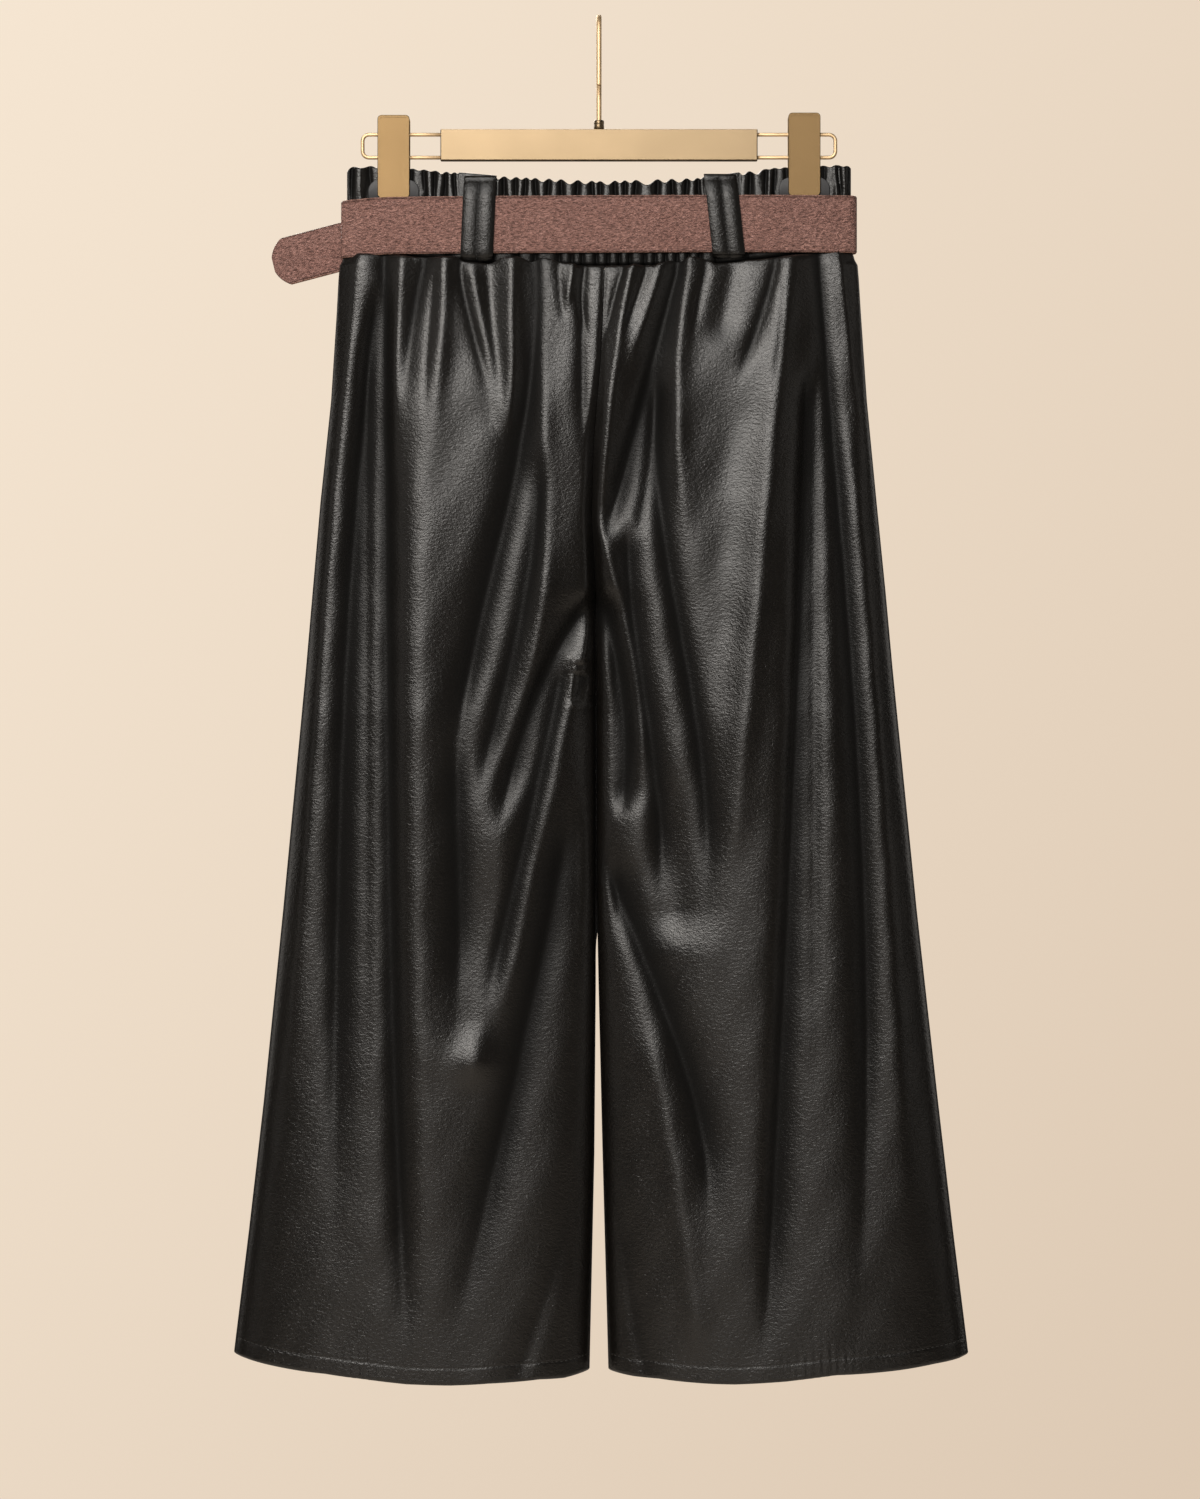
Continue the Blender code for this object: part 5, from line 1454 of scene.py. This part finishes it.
def ferrule():
    """A collar turned on a lathe: a closed profile of radius and height, carried round Z."""
    bore, low, high, edge = HOOK_WIRE / 2 + GAP, -BAR_DROP + GAP, -FERRULE_DROP, 0.0006
    groove = 0.0003
    waist = (low + high) / 2
    profile = np.array([(bore, low), (FERRULE_RADIUS - edge, low), (FERRULE_RADIUS, low + edge),
                        (FERRULE_RADIUS, waist - edge), (FERRULE_RADIUS - groove, waist),
                        (FERRULE_RADIUS, waist + edge), (FERRULE_RADIUS, high - edge),
                        (FERRULE_RADIUS - edge, high), (bore, high)])
    angle = np.linspace(0.0, 2.0 * math.pi, 49)[:-1, None]
    points = np.stack([profile[:, 0] * np.cos(angle), profile[:, 0] * np.sin(angle),
                       np.broadcast_to(profile[:, 1], (48, len(profile)))], axis=-1)
    quads = grid_quads(48, len(profile), around=True, along=True)
    mesh = new_mesh("metal_ferrule", points, quads[:, ::-1])
    place(mesh, [SATIN_GOLD], ["hanger_ferrule"])


for side in SIDES:
    spring(side)
    for face in FACES:
        grip_pad(face, side)
ferrule()

# %% [markdown]
# ## The buckle and keeper
# These sit on the hidden front. The frame is a closed wire round the strap's folded end, the prong curls
# round its heel and rests on its toe, and the keeper is a plain leather ring that holds the tail.

# %% Buckle and keeper
BUCKLE_CORNER = 0.0030
PRONG_WIRE = 0.0024
KEEPER_X = -0.0720
KEEPER_WIDTH = 0.0120
KEEPER_WALL = 0.0015


def buckle():
    """A wire frame round the strap's folded end, and a prong curled round its heel."""
    drop = belt_drop(0.0)
    heel_y = band_foot(BUCKLE_HEEL_X) + HEEL_OFF
    toe_y = band_foot(BUCKLE_TOE_X) + TOE_OFF
    length = BUCKLE_TOE_X - BUCKLE_HEEL_X
    middle = (BUCKLE_TOE_X + BUCKLE_HEEL_X) / 2
    slope = (toe_y - heel_y) / length
    ring = rounded_ring(length, BELT_WIDTH + BUCKLE_WIRE + 0.0016, BUCKLE_CORNER)
    frame_path = np.stack([middle + ring[:, 0], heel_y + slope * (ring[:, 0] + length / 2),
                           ring[:, 1] - drop], axis=-1)
    wire("metal_buckle_frame", frame_path, BUCKLE_WIRE / 2, (-slope, 1, 0), ["buckle_frame"], closed=True)
    curl = BUCKLE_WIRE / 2 + GAP + PRONG_WIRE / 2
    rest = toe_y + BUCKLE_WIRE / 2 + GAP + PRONG_WIRE / 2
    angle = np.radians(np.linspace(-160, 10, 12))
    prong = np.stack([BUCKLE_HEEL_X + curl * np.cos(angle), heel_y + curl * np.sin(angle),
                      np.full(12, -drop)], axis=-1)
    rise = np.array([(-0.0060, heel_y + 0.0009, -drop), (0.0020, heel_y + 0.0019, -drop),
                     (0.0100, heel_y + 0.0032, -drop), (BUCKLE_TOE_X - 0.0040, rest, -drop),
                     (BUCKLE_TOE_X + 0.0030, rest, -drop)])
    wire("metal_buckle_prong", soft_path(np.concatenate([prong, rise]), 90), PRONG_WIRE / 2, (0, 0, 1),
         ["buckle_prong"], rounding=0.0012)


def keeper():
    """A leather band round the strap and its tail: a closed ring with a wall."""
    drop = belt_drop(KEEPER_X)
    inner_off = BELT_OFF["front"] - BELT_WALL / 2 - GAP
    outer_off = SECOND_OFF + BELT_WALL / 2 + GAP
    ring = rounded_ring(BELT_WIDTH + 0.0016, outer_off - inner_off, 0.0012, steps=5)
    middle = band_foot(KEEPER_X) + (inner_off + outer_off) / 2
    columns = KEEPER_X + KEEPER_WIDTH * np.linspace(-0.5, 0.5, 7)
    points = np.stack([np.broadcast_to(columns[:, None], (7, len(ring))),
                       np.broadcast_to(middle + ring[:, 1], (7, len(ring))),
                       np.broadcast_to(ring[:, 0] - drop, (7, len(ring)))], axis=-1)
    uv = np.stack([np.broadcast_to(lengths(ring), (7, len(ring))),
                   np.broadcast_to((columns - KEEPER_X)[:, None], (7, len(ring)))], axis=-1)
    mesh = new_mesh("leather_keeper", points, grid_quads(7, len(ring), around=True), uv=uv)
    piece = place(mesh, [BELT_LEATHER], ["belt_keeper"])
    rounded(wall(piece, KEEPER_WALL, offset=1.0), 0.0003)


buckle()
keeper()

# %% [markdown]
# ## The cloth as it was cut
# A leg panel is cut as a tall trapezium, wider at the waist than the band it is gathered into. What shows
# of a waistband is one face of its folded casing, and a loop is a short strip. This cell only counts the
# cloth pieces.

# %% Count of cloth pieces
for face, band in BANDS.items():
    "clip_pad_" + face + "_left"
    "clip_pad_" + face + "_right"
print("sheets:", len(LEGS) + len(BANDS) + len(LOOP_PIECES))

# %% [markdown]
# ## The floor, the light and the camera
# A pale floor lies well below, because the garment hangs. Black leather shows its folds only by what it
# reflects, so every light is a soft panel. The key at the upper left lights one side of each fold. A wide
# panel over the camera and a faint one under it fill the flat cloth, and one above the waist catches the
# gathers. Weak panels at the sides draw the outline, and one behind lights the floor and the rims. The
# background is a plain cream with painted light: a little brighter at the upper left.

# %% Floor, lights, background and camera
FLOOR_DROP = 1.62
CAMERA_DISTANCE = 3.5
CAMERA_DROP = 0.573
CAMERA_X = 0.0008
FRAME_HEIGHT = 1.177
SENSOR = 36.0                # along the picture's long, upright side


def floor():
    """A big pale square, with slow changes of shade."""
    pale = Finish("pale_floor", (0.80, 0.72, 0.63), 0.75)
    cloud = pale.noise(pale.place_on(), 0.5, detail=3.0)
    pale.send(Base_Color=pale.blend(cloud, tint(0.76, 0.69, 0.61), tint(0.84, 0.76, 0.67)))
    x, y = np.meshgrid(np.linspace(-2.6, 2.6, 2), np.linspace(2.4, -4.6, 2))
    points = np.stack([x, y, np.full_like(x, -FLOOR_DROP)], axis=-1)
    mesh = new_mesh("floor", points, grid_quads(2, 2))
    mesh.materials.append(pale.material)
    link("floor", mesh)


def aim(thing, place_at, target):
    """Put a camera or light somewhere and point its -Z at a target."""
    thing.location = place_at
    thing.rotation_euler = (Vector(target) - Vector(place_at)).to_track_quat("-Z", "Y").to_euler()


def panel_light(name, place_at, target, size, power, colour):
    """A rectangular light: its place, what it points at, width and height, watts and colour."""
    light = bpy.data.lights.new(name, "AREA")
    light.shape = "RECTANGLE"
    light.size, light.size_y = size
    light.energy = power
    light.color = colour
    aim(link(name, light), place_at, target)


def background():
    """Cream where the camera looks, with painted light that makes it brighter to the upper left, and a
    dim neutral everywhere else.
    """
    world = bpy.data.worlds.new("studio")
    bpy.context.scene.world = world
    studio = Wiring(world)
    where = studio.node("ShaderNodeTexCoord", {}, {}, output="Generated")
    # Painted light: the cream is brighter towards the upper left.
    slant = studio.node("ShaderNodeVectorMath", {"operation": "DOT_PRODUCT"},
                        {0: where, 1: (-0.8, 0.0, 0.6)}, output="Value")
    share = studio.node("ShaderNodeMapRange", {}, {"Value": slant, "From Min": -0.20, "From Max": 0.22})
    cream = studio.blend(share, tint(0.720, 0.585, 0.455), tint(0.925, 0.795, 0.650))
    seen = studio.tree.nodes["Background"]
    studio.tree.links.new(cream.socket, seen.inputs["Color"])
    around = studio.node("ShaderNodeBackground", {}, {"Color": tint(1.0, 0.96, 0.91), "Strength": 0.02})
    camera_ray = studio.node("ShaderNodeLightPath", {}, {}, output="Is Camera Ray")
    studio.mix(camera_ray, around, Value(studio, seen.outputs[0]), "World Output")


def camera():
    """Level with the garment's middle, straight behind it, with a long lens."""
    data = bpy.data.cameras.new("camera")
    data.sensor_width = SENSOR
    data.lens = SENSOR * CAMERA_DISTANCE / FRAME_HEIGHT
    data.clip_end = 30.0
    holder = link("camera", data)
    aim(holder, (CAMERA_X, -CAMERA_DISTANCE, -CAMERA_DROP), (CAMERA_X, 0.0, -CAMERA_DROP))
    bpy.context.scene.camera = holder
    bpy.context.scene.view_settings.view_transform = "Standard"


floor()
background()
camera()
GARMENT_MIDDLE = (0.0, 0.0, -0.55)
UPPER_MIDDLE = (0.0, 0.0, -0.35)
panel_light("key", (-1.10, -2.30, 0.80), UPPER_MIDDLE, (1.0, 1.2), 32.0, (1.0, 0.95, 0.89))
panel_light("front", (-0.4, -3.4, 0.80), GARMENT_MIDDLE, (1.4, 1.1), 46.0, (1.0, 0.96, 0.91))
panel_light("low_front", (-0.1, -3.6, -0.60), GARMENT_MIDDLE, (1.6, 1.7), 7.4, (1.0, 0.93, 0.86))
panel_light("top", (-0.35, -1.05, 1.15), UPPER_MIDDLE, (1.3, 0.6), 14.0, (1.0, 0.97, 0.93))
panel_light("left_side", (-2.4, -1.0, 0.0), GARMENT_MIDDLE, (0.7, 2.0), 2.5, (1.0, 0.94, 0.87))
panel_light("right_side", (2.4, -1.0, 0.0), GARMENT_MIDDLE, (0.7, 2.0), 2.5, (1.0, 0.94, 0.87))
panel_light("left_rim", (-2.0, 1.0, 0.0), GARMENT_MIDDLE, (0.9, 2.0), 5.0, (1.0, 0.94, 0.87))
panel_light("right_rim", (2.0, 1.0, 0.0), GARMENT_MIDDLE, (0.9, 2.0), 5.0, (1.0, 0.94, 0.87))
panel_light("behind", (-0.6, 2.4, 0.9), GARMENT_MIDDLE, (1.6, 1.2), 48.0, (1.0, 0.96, 0.91))
print("camera lens, mm:", round(bpy.context.scene.camera.data.lens, 1))

# %% [markdown]
# ## The frame's nodes
# Every node of the frame gets a satin gold finish, and the clips' nodes a darker gold.

# %% Finish
for name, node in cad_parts.items():
    node.data.materials.clear()
    node.data.materials.append(CLIP_GOLD if name.startswith("clip") else SATIN_GOLD)
